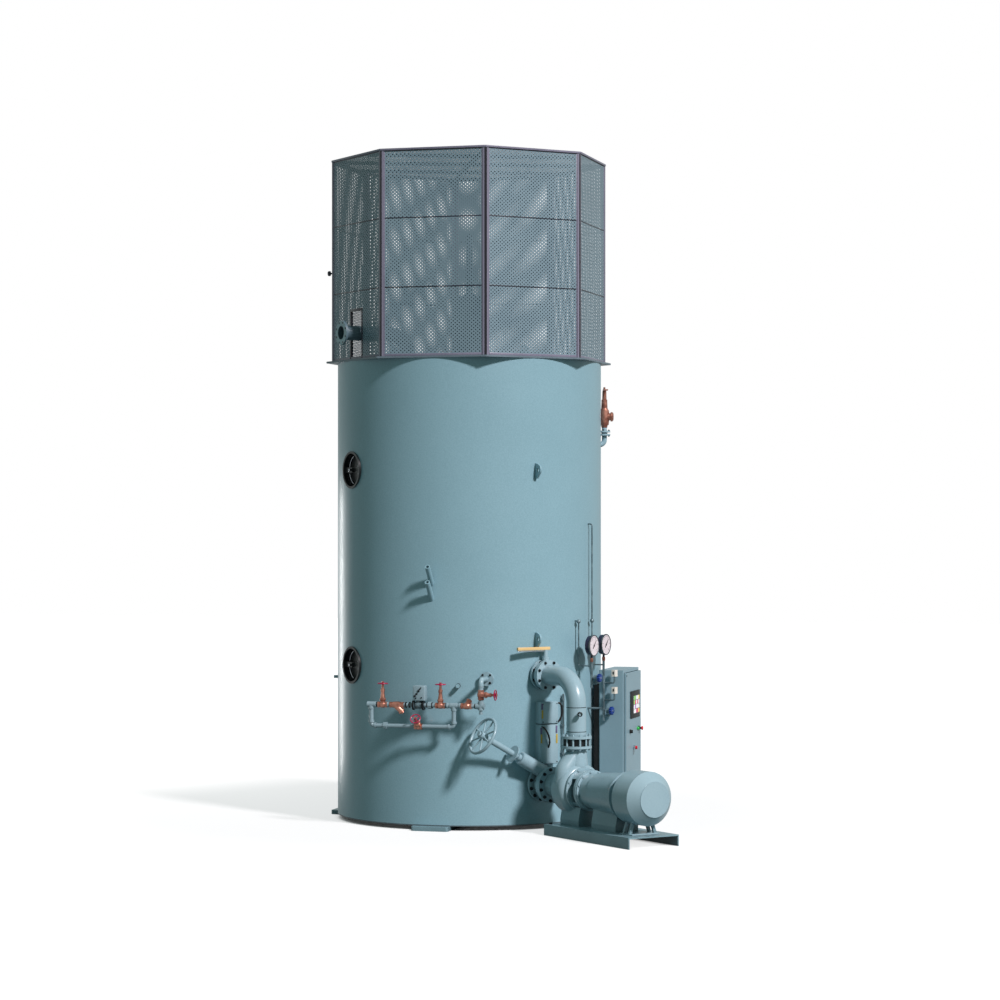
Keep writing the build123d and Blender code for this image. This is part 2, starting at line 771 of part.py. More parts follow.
with BuildPart() as bypass_line:
    lower_left = trim_point(feed_left, bypass_height)
    lower_right = trim_point(bypass_join, bypass_height)
    rise = Vector(0, 0, 110)
    valve_left = trim_point(bypass_valve_place - 46, bypass_height)
    valve_right = trim_point(bypass_valve_place + 46, bypass_height)
    add(pipe_run([lower_left + rise, lower_left, valve_left], 38, feed_pipe_radius))
    add(pipe_run([valve_right, lower_right, lower_right + rise], 38, feed_pipe_radius))
    for end in (feed_left, bypass_join):
        inward = 1 if end == feed_left else -1
        add(collar(upright(end, bypass_height + 50), 22))
        add(collar(along_x(end + 50 * inward, bypass_height), 22))
    with BuildSketch(along_x(-504, bypass_height)):
        RegularPolygon(fitting_radius + 8, 8)
    extrude(amount=44)
save(bypass_line, "bypass_line")

with BuildPart() as feed_nozzle:
    top_left = trim_point(feed_riser, stop_valve_height + 56)
    top_corner = trim_point(feed_riser, feed_nozzle_height)
    into_jacket = Vector(feed_riser, nozzle_y + 60, feed_nozzle_height)
    add(pipe_run([top_left, top_corner, into_jacket], 44, feed_pipe_radius + 4))
    add(collar(upright(feed_riser, feed_nozzle_height - 52), 24))
    face = Plane(origin=Vector(feed_riser, nozzle_y - 105, feed_nozzle_height), x_dir=(1, 0, 0), z_dir=(0, 1, 0))
    add(disc(face, feed_flange_radius, 22))
    add(disc(face.offset(26), feed_flange_radius, 22))
    add(disc(face, 50, 60))
    add(jacket_envelope, mode=Mode.SUBTRACT)
save(feed_nozzle, "feed_nozzle")


def trim_stem(plane, reach):
    """The bonnet, gland and stem of a small bronze valve, with the nut that keeps the wheel."""
    seat = reach - trim_wheel_rim * 2
    return turned(plane, [
        (-8, 30), (44, 30), (50, 36), (66, 36), (74, 27), (seat * 0.62, 20), (seat * 0.66, 24),
        (seat * 0.78, 24), (seat * 0.82, 15), (seat - 0.5, 15), (seat - 0.5, trim_stem_radius),
        (reach + 14, trim_stem_radius), (reach + 14, 13), (reach + 24, 13)])


def trim_wheel(plane):
    return handwheel(plane, trim_wheel_radius, trim_wheel_rim, 16, 24, trim_stem_radius + 0.4, 4, 4.5)


for index, place in enumerate(gate_valve_places):
    side = ("left", "right")[index]
    with BuildPart() as gate_valve:
        add(fitting_ends(place, feed_height, gate_half))
        add(turned(along_x(place, feed_height), [(-gate_half + 20, 28), (-14, 37), (14, 37), (gate_half - 20, 28)]))
        add(trim_stem(upright(place, feed_height), gate_wheel_rise))
    save(gate_valve, f"gate_valve_{side}")
    with BuildPart() as gate_wheel:
        add(trim_wheel(upright(place, feed_height + gate_wheel_rise)))
    save(gate_wheel, f"gate_wheel_{side}")

# The strainer's screen leg slants down towards the outlet
with BuildPart() as strainer:
    middle = (strainer_start + strainer_end) / 2
    half = (strainer_end - strainer_start) / 2
    add(fitting_ends(middle, feed_height, half))
    add(turned(along_x(middle, feed_height), [(-half + 20, 30), (-20, 38), (20, 38), (half - 20, 30)]))
    leg = Plane(origin=trim_point(middle - 20, feed_height), z_dir=(0.72, 0, -0.69))
    add(turned(leg, [(0, 34), (96, 32), (96, 38), (116, 38), (116, 18), (132, 18)]))
save(strainer, "strainer")

with BuildPart() as control_valve:
    add(turned(along_x(control_valve_place, feed_height), [
        (-62, 46), (-48, 46), (-48, 28), (-30, 42), (30, 42), (48, 28), (48, 46), (62, 46)]))
    add(turned(upright(control_valve_place, feed_height), [(0, 34), (66, 34), (66, 22), (100, 22)]))
    with BuildSketch(upright(control_valve_place, feed_height + 98)):
        RectangleRounded(96, 84, 10)
    extrude(amount=88)
    chamfer(control_valve.faces().sort_by(Axis.Z)[-1].edges(), 6)
save(control_valve, "control_valve")

with BuildPart() as check_valve:
    add(fitting_ends(check_valve_place, feed_height, 62))
    add(turned(along_x(check_valve_place, feed_height), [(-42, 28), (-16, 38), (22, 38), (42, 28)]))
    hood = Plane(origin=trim_point(check_valve_place - 4, feed_height), z_dir=(0.5, 0, 0.87))
    add(turned(hood, [(0, 30), (62, 28), (62, 34), (78, 34), (86, 20)]))
save(check_valve, "check_valve")

with BuildPart() as stop_valve:
    for start in (-56, 34):
        with BuildSketch(upright(feed_riser, stop_valve_height + start)):
            RegularPolygon(fitting_radius + 4, 6)
        extrude(amount=22)
    add(turned(upright(feed_riser, stop_valve_height), [(-36, 28), (-18, 40), (18, 40), (36, 28)]))
    add(trim_stem(along_x(feed_riser, stop_valve_height), stop_wheel_reach))
save(stop_valve, "stop_valve")
with BuildPart() as stop_wheel:
    add(trim_wheel(along_x(feed_riser + stop_wheel_reach, stop_valve_height)))
save(stop_wheel, "stop_wheel")

# The bypass valve leans forward, clear of the feed line above it
lean = Vector(0, -sin(radians(bypass_stem_lean)), cos(radians(bypass_stem_lean)))
with BuildPart() as bypass_valve:
    add(fitting_ends(bypass_valve_place, bypass_height, 46))
    add(turned(along_x(bypass_valve_place, bypass_height), [(-26, 28), (-12, 38), (12, 38), (26, 28)]))
    add(trim_stem(Plane(origin=trim_point(bypass_valve_place, bypass_height), x_dir=(1, 0, 0), z_dir=lean),
                  bypass_wheel_reach))
save(bypass_valve, "bypass_valve")
with BuildPart() as bypass_wheel:
    hub_point = trim_point(bypass_valve_place, bypass_height) + lean * bypass_wheel_reach
    add(trim_wheel(Plane(origin=hub_point, x_dir=(1, 0, 0), z_dir=lean)))
save(bypass_wheel, "bypass_wheel")

# Circulation pump, along one level axis that points out from the boiler
pump = facing(pump_angle, 0, pump_axis_height)


def across(reach):
    """A plane across the pump's axis at a distance from the boiler's axis."""
    return pump.offset(reach)


def on_pump(side, reach, height):
    """A point beside the pump's axis, at a height over the floor."""
    return pump.origin + pump.x_dir * side + pump.z_dir * reach + Vector(0, 0, height - pump_axis_height)


stem_foot = on_pump(0, suction_face + suction_valve_length / 2, pump_axis_height + stem_lift)
stem_direction = -pump.x_dir * cos(radians(stem_tilt)) + Vector(0, 0, sin(radians(stem_tilt)))
stem = Plane(origin=stem_foot, x_dir=pump.z_dir, z_dir=stem_direction)
with BuildPart() as suction_valve:
    add(disc(across(jacket_radius - 60), pump_pipe_radius, suction_face - jacket_radius + 60))
    add(jacket_envelope, mode=Mode.SUBTRACT)
    add(turned(across(suction_face), [
        (0, pump_flange_radius), (pump_flange_thickness, pump_flange_radius), (pump_flange_thickness, 140),
        (suction_valve_length / 2 - 20, 158), (suction_valve_length / 2 + 20, 158),
        (suction_valve_length - pump_flange_thickness, 140),
        (suction_valve_length - pump_flange_thickness, pump_flange_radius),
        (suction_valve_length, pump_flange_radius)]))
    add(disc(stem.offset(-20), bonnet_neck_radius, 20 + bonnet_start))
save(suction_valve, "suction_valve")

with BuildPart() as suction_bonnet:
    bonnet_end = bonnet_start + bonnet_length
    wheel_seat = wheel_distance - wheel_hub_radius
    add(turned(stem, [
        (bonnet_start, 104), (bonnet_start + 34, 104), (bonnet_start + 34, bonnet_radius),
        (bonnet_end - 10, bonnet_radius), (bonnet_end, bonnet_radius - 10), (bonnet_end, 40),
        (bonnet_end + 40, 40), (bonnet_end + 40, stem_radius), (bonnet_end + 100, stem_radius),
        (bonnet_end + 100, 100), (bonnet_end + 112, 100), (bonnet_end + 112, sleeve_radius),
        (wheel_seat - 0.5, sleeve_radius), (wheel_seat - 0.5, 16), (wheel_distance + 46, 16),
        (wheel_distance + 46, 28), (wheel_distance + 68, 28)]))
save(suction_bonnet, "suction_bonnet")

with BuildPart() as suction_wheel:
    add(handwheel(stem.offset(wheel_distance), wheel_radius, wheel_rim_radius, wheel_hub_radius,
                  2 * wheel_hub_radius, 16.5, wheel_spokes, 9))
save(suction_wheel, "suction_wheel")

# The volute casing: suction nozzle, scroll and the neck up to the discharge
neck_foot = on_pump(0, discharge_radius_out, 0)
with BuildPart() as pump_volute:
    with BuildSketch(across(volute_start)):
        Circle(volute_radius)
    extrude(amount=volute_width)
    fillet(pump_volute.edges(), volute_fillet)
    add(turned(across(suction_end), [
        (0, pump_flange_radius), (pump_flange_thickness, pump_flange_radius), (pump_flange_thickness, 132),
        (150, 132), (volute_start - suction_end + 60, 190)]))
    neck_centre = Plane(origin=Vector(neck_foot.X, neck_foot.Y, pump_axis_height), x_dir=pump.x_dir)
    add(turned(neck_centre, [
        (0, 135), (volute_radius, 128), (neck_flange_bottom - pump_axis_height, discharge_pipe_radius),
        (neck_flange_bottom - pump_axis_height, discharge_flange_radius),
        (neck_flange_bottom - pump_axis_height + discharge_flange_thickness, discharge_flange_radius)]))
    scroll_low = on_pump(-volute_radius + 105, discharge_radius_out, pump_axis_height + 20)
    scroll_mid = on_pump(-volute_radius + 120, discharge_radius_out, pump_axis_height + 210)
    scroll_top = on_pump(0, discharge_radius_out, pump_axis_height + 400)
    add(pipe_run([scroll_low, scroll_mid, scroll_top], 120, 100))
save(pump_volute, "pump_volute")

# The bracket between the volute and the motor, with a window at each side
bracket_foot = 26
with BuildPart() as pump_bracket:
    with BuildSketch(across(volute_end)):
        Circle(bracket_radius)
        Circle(bracket_radius - bracket_wall, mode=Mode.SUBTRACT)
    extrude(amount=bracket_length)
    for start, length, radius in ((volute_end, bracket_foot, bracket_radius + 30),
                                  (motor_start - bracket_ring_thickness, bracket_ring_thickness, bracket_ring_radius)):
        with BuildSketch(across(start)):
            Circle(radius)
            Circle(bracket_radius - bracket_wall, mode=Mode.SUBTRACT)
        extrude(amount=length)
    with BuildSketch(across(volute_end + bracket_foot + 6)):
        Rectangle(3 * bracket_radius, bracket_window_height)
    extrude(amount=bracket_length - bracket_ring_thickness - bracket_foot - 12, mode=Mode.SUBTRACT)
save(pump_bracket, "pump_bracket")

# The motor widens towards its fan; its shaft and coupling lie inside the bracket
coupling = 25 - bracket_length
with BuildPart() as pump_motor:
    add(turned(across(motor_start), [
        (-bracket_length, 32), (coupling, 32), (coupling, 95), (coupling + 45, 95), (coupling + 45, 70),
        (coupling + 55, 70), (coupling + 55, 95), (coupling + 100, 95), (coupling + 100, 38), (0, 38),
        (0, bracket_ring_radius - 6), (22, bracket_ring_radius - 6), (22, motor_neck_radius),
        (motor_neck_length, motor_neck_radius), (motor_neck_length, motor_start_radius - 8),
        (motor_neck_length + 8, motor_start_radius), (motor_length - motor_rim_thickness, motor_radius),
        (motor_length - motor_rim_thickness, motor_rim_radius), (motor_length, motor_rim_radius),
        (motor_length, motor_hub_radius), (motor_length + fan_cover_gap, motor_hub_radius)]))
save(pump_motor, "pump_motor")
with BuildPart() as fan_cover:
    add(turned(across(fan_cover_start), [
        (0, fan_cover_radius), (fan_cover_length, fan_cover_radius),
        (fan_cover_length + fan_cone_length, fan_disc_radius + 4),
        (fan_cover_length + fan_cone_length, fan_disc_radius),
        (fan_cover_length + fan_cone_length + 8, fan_disc_radius)]))
save(fan_cover, "fan_cover")

# The baseplate is a channel bent from plate, open at both ends
with BuildPart() as pump_baseplate:
    with BuildSketch(across(baseplate_start)):
        with BuildLine():
            half = baseplate_width / 2
            foot_y = -pump_axis_height
            top_y = foot_y + baseplate_height
            Polyline((-half, foot_y), (-half, top_y), (half, top_y), (half, foot_y), (half - baseplate_wall, foot_y),
                     (half - baseplate_wall, top_y - baseplate_wall), (baseplate_wall - half, top_y - baseplate_wall),
                     (baseplate_wall - half, foot_y), (-half, foot_y))
        make_face()
    extrude(amount=baseplate_end - baseplate_start)
save(pump_baseplate, "pump_baseplate")

with BuildPart() as pump_pedestals:
    for start, length, width, reach in ((volute_start + 60, 360, 320, volute_radius - 30),
                                        (motor_start + motor_neck_length + 20, 460, 300, motor_start_radius + 40)):
        with BuildSketch(across(start)):
            with BuildLine():
                low_y = baseplate_height - pump_axis_height
                Polyline((-width / 2, low_y), (width / 2, low_y), (width / 2, low_y + 60),
                         (width / 2 - 30, -reach + 90), (-width / 2 + 30, -reach + 90), (-width / 2, low_y + 60),
                         (-width / 2, low_y))
            make_face()
        extrude(amount=length)
    for start in (fan_cover_start + 40, fan_cover_start + 140):
        for lean_side in (-1, 1):
            with BuildSketch(across(start)):
                with BuildLine():
                    low_y = baseplate_height - pump_axis_height
                    Polyline((lean_side * 150, low_y), (lean_side * 186, low_y), (lean_side * 120, -200),
                             (lean_side * 84, -200), (lean_side * 150, low_y))
                make_face()
            extrude(amount=30)
    for mate in (pump_volute, pump_motor, fan_cover):
        add(mate.part, mode=Mode.SUBTRACT)
    add(disc(across(volute_end), bracket_radius + 30, bracket_foot), mode=Mode.SUBTRACT)
    add(disc(across(volute_end), bracket_ring_radius, bracket_length), mode=Mode.SUBTRACT)
save(pump_pedestals, "pump_pedestals")

# Discharge: a spool on the pump's neck, a bend, then the shut-off valve on the jacket
with BuildPart() as discharge_spool:
    lowest = on_pump(0, discharge_radius_out, neck_flange_top)
    bend_corner = on_pump(0, discharge_radius_out, discharge_height)
    valve_side = on_pump(0, discharge_face, discharge_height)
    add(pipe_run([lowest, bend_corner, valve_side], discharge_bend, discharge_pipe_radius))
    neck_top = Plane(origin=lowest, x_dir=pump.x_dir)
    add(disc(neck_top.offset(-discharge_flange_thickness), discharge_flange_radius, discharge_flange_thickness))
    add(disc(facing(pump_angle, discharge_face, discharge_height), discharge_flange_radius,
             discharge_flange_thickness))
    tap = Plane(origin=lowest + Vector(0, 0, 250), z_dir=outward(pump_angle - 20))
    add(turned(tap, [(0, 16), (discharge_pipe_radius + 40, 16), (discharge_pipe_radius + 40, 24),
                     (discharge_pipe_radius + 60, 24)]))
save(discharge_spool, "discharge_spool")

# The wafer check valve clamped between the neck's flange and the spool's
with BuildPart() as wafer_valve:
    add(disc(Plane(origin=on_pump(0, discharge_radius_out, wafer_low), x_dir=pump.x_dir),
             discharge_bolt_circle / 2 - wafer_bolt_clearance, wafer_length))
save(wafer_valve, "wafer_valve")

with BuildPart() as discharge_valve:
    face = facing(pump_angle, discharge_valve_face, discharge_height)
    add(disc(facing(pump_angle, jacket_radius - 60, discharge_height), discharge_pipe_radius + 20, 85))
    add(turned(face, [
        (0, discharge_flange_radius), (discharge_flange_thickness, discharge_flange_radius),
        (discharge_flange_thickness, 140), (discharge_valve_length - discharge_flange_thickness, 140),
        (discharge_valve_length - discharge_flange_thickness, discharge_flange_radius),
        (discharge_valve_length, discharge_flange_radius)]))
    spindle = Plane(origin=outward(pump_angle) * (discharge_valve_face + discharge_valve_length / 2)
                    + Vector(0, 0, discharge_height), x_dir=pump.x_dir)
    add(turned(spindle, [(0, 40), (200, 40), (200, 24), (lever_height - 0.3, 24), (lever_height - 0.3, 9),
                         (lever_height + lever_thickness + 4, 9), (lever_height + lever_thickness + 4, 15),
                         (lever_height + lever_thickness + 14, 15)]))
    add(jacket_envelope, mode=Mode.SUBTRACT)
save(discharge_valve, "discharge_valve")

with BuildPart() as discharge_lever:
    with BuildSketch(spindle.offset(lever_height)):
        with Locations((-(lever_length - lever_tail) / 2, 0)):
            SlotOverall(lever_length + lever_tail, lever_width)
        Circle(32)
        Circle(9.5, mode=Mode.SUBTRACT)
    extrude(amount=lever_thickness)
save(discharge_lever, "discharge_lever")

# Control cabinet on its plinth, its door facing +X; two arms hold it to the jacket
cabinet_right = cabinet_left + cabinet_depth
cabinet_back = cabinet_front + cabinet_width
door_back_edge = cabinet_back - cabinet_door_margin
cabinet_hinge = Vector(cabinet_right + cabinet_door_gap + cabinet_door_thickness / 2, door_back_edge + 14, 0)
cabinet_hinge_heights = (350, 1500)
with BuildPart() as control_cabinet:
    add(block((cabinet_left, cabinet_front, plinth_height), (cabinet_right, cabinet_back, cabinet_top)))
    fillet(control_cabinet.edges().filter_by(Axis.Z), 12)
    add(block((cabinet_left + plinth_inset, cabinet_front + plinth_inset, 0),
              (cabinet_right - plinth_inset, cabinet_back - plinth_inset, plinth_height)))
    with BuildSketch(Plane(origin=(cabinet_right, 0, 0), x_dir=(0, 1, 0), z_dir=(1, 0, 0))):
        with Locations(((cabinet_front + cabinet_back) / 2, (plinth_height + cabinet_top) / 2)):
            Rectangle(cabinet_width - 4 * cabinet_wall, cabinet_top - plinth_height - 4 * cabinet_wall)
    extrude(amount=-(cabinet_depth - cabinet_wall), mode=Mode.SUBTRACT)
    for height in cabinet_arm_heights:
        add(block((jacket_radius - 80, cabinet_arm_side, height),
                  (cabinet_left, cabinet_arm_side + cabinet_arm_width, height + cabinet_arm_depth)) - jacket_envelope)
    # Fixed knuckles and pins of the door's hinges
    for height in cabinet_hinge_heights:
        knuckle_low = height - knuckle_height - 1
        for start in (knuckle_low, height + knuckle_height / 2 + 1):
            knuckle = Plane(origin=cabinet_hinge + Vector(0, 0, start))
            add(disc(knuckle, knuckle_radius, knuckle_height / 2))
            with BuildSketch(knuckle):
                Rectangle(cabinet_hinge.X - cabinet_right + 8, 14, align=(Align.MAX, Align.CENTER))
            extrude(amount=knuckle_height / 2)
        add(disc(Plane(origin=cabinet_hinge + Vector(0, 0, knuckle_low)), hinge_pin_radius,
                 2 * knuckle_height + 2))
save(control_cabinet, "control_cabinet")

door_plane = Plane(origin=(cabinet_right + cabinet_door_gap, 0, 0), x_dir=(0, 1, 0), z_dir=(1, 0, 0))
door_width = cabinet_width - 2 * cabinet_door_margin
door_bottom = plinth_height + 20
door_top = cabinet_top - 36
door_middle = door_back_edge - door_width / 2
with BuildPart() as cabinet_door:
    with BuildSketch(door_plane):
        with Locations((door_middle, (door_bottom + door_top) / 2)):
            RectangleRounded(door_width, door_top - door_bottom, 8)
    extrude(amount=cabinet_door_thickness)
    for height in cabinet_hinge_heights:
        knuckle = Plane(origin=cabinet_hinge + Vector(0, 0, height - knuckle_height / 2))
        with BuildSketch(knuckle):
            Circle(knuckle_radius)
            Rectangle(10, 20, align=(Align.CENTER, Align.MAX))
            Circle(hinge_pin_radius + pin_play, mode=Mode.SUBTRACT)
        extrude(amount=knuckle_height)
save(cabinet_door, "cabinet_door")

# The operator screen and the round buttons under it
screen_centre = (door_middle + screen_side, screen_level)
with BuildPart() as door_controls:
    face = door_plane.offset(cabinet_door_thickness)
    with BuildSketch(face):
        with Locations(screen_centre):
            RectangleRounded(screen_width, screen_height, 10)
    extrude(amount=screen_depth)
    for side, height in button_places:
        centre = face.origin + face.x_dir * (door_middle + side) + face.y_dir * height
        add(turned(Plane(origin=centre, z_dir=face.z_dir), [
            (0, button_radius), (10, button_radius), (10, button_radius - 5), (button_rise, button_radius - 5)]))
save(door_controls, "door_controls")

with BuildPart() as cable_duct:
    add(block((cabinet_left - duct_width, cabinet_front + 20, duct_low),
              (cabinet_left, cabinet_front + 20 + duct_depth, duct_top)))
save(cable_duct, "cable_duct")

# Two dial gauges side by side, each on its own upright pipe
gauge_plane = facing(gauge_angle, gauge_reach, 0)


def on_gauge(side, out, height):
    """A point beside the gauge pipes' middle, out from their plane, at a height over the floor."""
    return gauge_plane.origin + gauge_plane.x_dir * side + gauge_plane.z_dir * out + Vector(0, 0, height)


gauge_foot = gauge_height - gauge_radius - gauge_neck
with BuildPart() as pressure_gauges:
    for side in gauge_offsets:
        centre = on_gauge(side, -gauge_depth / 2, gauge_height)
        add(turned(Plane(origin=centre, x_dir=gauge_plane.x_dir, z_dir=gauge_plane.z_dir), [
            (0, gauge_radius - 12), (4, gauge_radius - 8), (gauge_depth - 8, gauge_radius - 8),
            (gauge_depth - 8, gauge_radius), (gauge_depth + 6, gauge_radius), (gauge_depth + 6, gauge_radius - 9),
            (gauge_depth, gauge_radius - 9)]))
        add(disc(Plane(origin=on_gauge(side, 0, gauge_foot)), 13, 60))
save(pressure_gauges, "pressure_gauges")

# Each upright pipe is fed by a tube down the jacket and carries a shut-off valve
with BuildPart() as gauge_piping:
    for side, bottom, knob_height, angle, top in zip(gauge_offsets, manifold_bottoms, knob_heights, tube_angles,
                                                     tube_tops):
        add(disc(Plane(origin=on_gauge(side, 0, bottom)), manifold_radius, gauge_foot - bottom))
        tube = outward(angle) * (jacket_radius + tube_standoff)
        add(pipe_run([outward(angle) * (jacket_radius - 20) + Vector(0, 0, top), tube + Vector(0, 0, top),
                      tube + Vector(0, 0, tube_low), on_gauge(side, 0, tube_low)], 24, tube_radius))
        with Locations(tube + Vector(0, 0, ball_height)):
            Sphere(24)
        add(pipe_run([on_gauge(side, 0, knob_height - 66), on_gauge(side, 72, knob_height - 66),
                      on_gauge(side, 72, knob_height)], 20, 11))
        with BuildSketch(Plane(origin=on_gauge(side, 36, knob_height), z_dir=gauge_plane.z_dir)):
            Circle(28)
        extrude(amount=44)
        with BuildSketch(Plane(origin=on_gauge(side, 80, knob_height), z_dir=gauge_plane.z_dir)):
            Circle(7)
        extrude(amount=30)
    for height in switch_heights:
        add(pipe_run([on_gauge(gauge_offsets[1], 0, height - 112),
                      on_gauge(gauge_offsets[1], switch_reach, height - 112),
                      on_gauge(gauge_offsets[1], switch_reach, height - 37)], 24, 10))
    brace = on_gauge(gauge_offsets[1], 0, gauge_brace_height)
    add(pipe_run([Vector(jacket_radius - 100, brace.Y, brace.Z), brace], 0, 11))
    add(jacket_envelope, mode=Mode.SUBTRACT)
save(gauge_piping, "gauge_piping")

for name, side, height in zip(("upper", "lower"), gauge_offsets, knob_heights):
    with BuildPart() as valve_knob:
        add(disc(Plane(origin=on_gauge(side, 84, height), z_dir=gauge_plane.z_dir), knob_radius, 24, 7.4))
    save(valve_knob, f"gauge_knob_{name}")

with BuildPart() as pressure_switches:
    for height in switch_heights:
        foot_plane = Plane(origin=on_gauge(gauge_offsets[1], switch_reach, height - 37), x_dir=gauge_plane.x_dir)
        with BuildSketch(foot_plane):
            RectangleRounded(switch_width, switch_depth, 6)
        extrude(amount=switch_height)
save(pressure_switches, "pressure_switches")

# Two closed instrument boxes, one over the other, behind the discharge spool
with BuildPart() as instrument_boxes:
    for low, high, width, depth in box_shapes:
        with BuildSketch(facing(box_angle, jacket_radius - 30, (low + high) / 2)):
            Rectangle(width, high - low)
        extrude(amount=depth + 30)
    add(jacket_envelope, mode=Mode.SUBTRACT)
save(instrument_boxes, "instrument_boxes")
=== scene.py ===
from math import cos, pi, radians, sin, tan

import bmesh
import bpy
from mathutils import Matrix, Vector


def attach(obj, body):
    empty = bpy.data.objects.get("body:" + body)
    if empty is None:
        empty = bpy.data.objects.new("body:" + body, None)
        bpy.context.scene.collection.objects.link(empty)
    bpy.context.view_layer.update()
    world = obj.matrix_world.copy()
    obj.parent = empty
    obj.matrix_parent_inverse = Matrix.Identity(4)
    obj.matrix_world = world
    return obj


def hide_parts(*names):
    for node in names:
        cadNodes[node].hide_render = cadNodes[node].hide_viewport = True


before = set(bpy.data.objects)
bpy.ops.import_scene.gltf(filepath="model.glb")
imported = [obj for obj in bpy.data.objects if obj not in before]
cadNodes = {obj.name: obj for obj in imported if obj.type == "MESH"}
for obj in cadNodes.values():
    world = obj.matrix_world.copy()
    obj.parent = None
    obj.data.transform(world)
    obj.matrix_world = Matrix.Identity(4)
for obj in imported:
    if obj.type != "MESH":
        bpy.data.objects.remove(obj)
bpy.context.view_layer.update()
print("frame loaded:", len(cadNodes), "nodes")


# Places round the boiler: angles run from the front towards +X, as in the frame
def outward(angle):
    return Vector((sin(radians(angle)), -cos(radians(angle)), 0))


def sideways(angle):
    return Vector((cos(radians(angle)), sin(radians(angle)), 0))


def stand(origin, facing, across=(1, 0, 0)):
    # A placing matrix with its Z along facing and its X near across
    z = Vector(facing).normalized()
    x = Vector(across)
    x = (x - z * x.dot(z)).normalized()
    placing = Matrix((x, z.cross(x), z)).transposed().to_4x4()
    placing.translation = Vector(origin)
    return placing


def onBoiler(angle, reach, height, side=0):
    # A placing matrix that faces outwards from the boiler's axis
    return stand(outward(angle) * reach + sideways(angle) * side + Vector((0, 0, height)),
                 outward(angle), sideways(angle))


def upright(place, level=0.0):
    return stand(Vector(place) + Vector((0, 0, level)), (0, 0, 1))


def moved(placing, x=0.0, y=0.0, z=0.0):
    return placing @ Matrix.Translation((x, y, z))


def turns(count, share=0.0):
    # Evenly spread angles, shifted by a share of their step
    return [2 * pi * (k + share) / count for k in range(count)]


def linked(name, data):
    made = bpy.data.objects.new(name, data)
    bpy.context.scene.collection.objects.link(made)
    return made


def bake(holder):
    # The mesh that an object shows; the object itself goes
    bpy.context.view_layer.update()
    sheet = bpy.data.meshes.new_from_object(holder.evaluated_get(bpy.context.evaluated_depsgraph_get()))
    bpy.data.objects.remove(holder)
    return sheet


def combining(operation, swapped=False):
    def combine(one, other):
        return one.math(operation, *((other, one) if swapped else (one, other)))
    return combine


# One class for a socket that sums are written on, one for the tree that makes the nodes
class Signal:
    __add__, __radd__ = combining("ADD"), combining("ADD", True)
    __sub__, __rsub__ = combining("SUBTRACT"), combining("SUBTRACT", True)
    __mul__, __rmul__ = combining("MULTIPLY"), combining("MULTIPLY", True)
    __truediv__ = combining("DIVIDE")
    __gt__, __lt__ = combining("GREATER_THAN"), combining("LESS_THAN")

    def __init__(self, tree, socket):
        self.tree, self.socket = tree, socket

    def math(self, operation, *values):
        return self.tree.node("ShaderNodeMath", {"operation": operation}, dict(enumerate(values)))

    def size(self):
        return self.math("ABSOLUTE", self)

    def output(self, key):
        # Another output of the same node
        return Signal(self.tree, self.socket.node.outputs[key])


class Tree:
    def __init__(self, tree):
        self.tree = tree

    def node(self, kind, settings=None, inputs=None, output=0):
        made = self.tree.nodes.new(kind)
        for key, value in (settings or {}).items():
            if key == "stops":
                ramp = made.color_ramp
                while len(ramp.elements) < len(value):
                    ramp.elements.new(0.5)
                for element, (place, tint) in zip(ramp.elements, value):
                    element.position, element.color = place, tint
            else:
                setattr(made, key, value)
        for key, value in (inputs or {}).items():
            if isinstance(value, Signal):
                self.tree.links.new(value.socket, made.inputs[key])
            else:
                made.inputs[key].default_value = value
        return Signal(self, made.outputs[output]) if made.outputs else made

    def seen(self):
        # 1 for what the camera sees, less for what shiny faces mirror
        ray = self.node("ShaderNodeLightPath")
        mirrored = ray.output("Is Glossy Ray") * light["glossyShare"]
        return ray.math("MAXIMUM", ray.math("MAXIMUM", ray, mirrored), ray.output("Is Transmission Ray"))


def shade(red, green, blue):
    # A colour as a screen shows it, 0 to 255, in the shader's own numbers
    straight = [c / 255 for c in (red, green, blue)]
    return tuple(c / 12.92 if c <= 0.04045 else ((c + 0.055) / 1.055) ** 2.4 for c in straight) + (1,)


def scaled(tint, factor, lift=0.0):
    return tuple(min(1, c * factor + lift) for c in tint[:3]) + (1,)


class Finish(Tree):
    def __init__(self, name):
        self.material = bpy.data.materials.new(name)
        self.material.use_nodes = True
        super().__init__(self.material.node_tree)
        self.tree.nodes.clear()
        self.place = self.node("ShaderNodeTexCoord", output="Object")

    def noise(self, scale, detail=3, roughness=0.55, stretch=(1, 1, 1)):
        place = self.node("ShaderNodeMapping", inputs={"Vector": self.place, "Scale": stretch})
        return self.node("ShaderNodeTexNoise", inputs={"Vector": place, "Scale": scale, "Detail": detail,
                                                      "Roughness": roughness})

    def between(self, value, low, high):
        # 0 below low, 1 above high
        return self.node("ShaderNodeMapRange", {"interpolation_type": "SMOOTHSTEP"},
                         {"Value": value, "From Min": low, "From Max": high})

    def mix(self, share, first, second):
        return self.node("ShaderNodeMix", {"data_type": "RGBA"}, {0: share, 6: first, 7: second}, 2)

    def grimeAndShade(self, reach):
        # Painted shade with grime: 1 deep in corners, 0 on open faces
        shadow = self.node("ShaderNodeAmbientOcclusion", {"samples": 4}, {"Distance": reach}, "AO")
        return self.between(1 - shadow, 0.3, 0.95)

    def bump(self, height, strength, distance, under=None):
        inputs = {"Height": height, "Strength": strength, "Distance": distance}
        if under:
            inputs["Normal"] = under
        return self.node("ShaderNodeBump", inputs=inputs)

    def surface(self, inputs):
        shader = self.node("ShaderNodeBsdfPrincipled", inputs=inputs)
        self.node("ShaderNodeOutputMaterial", inputs={"Surface": shader})
        return self.material


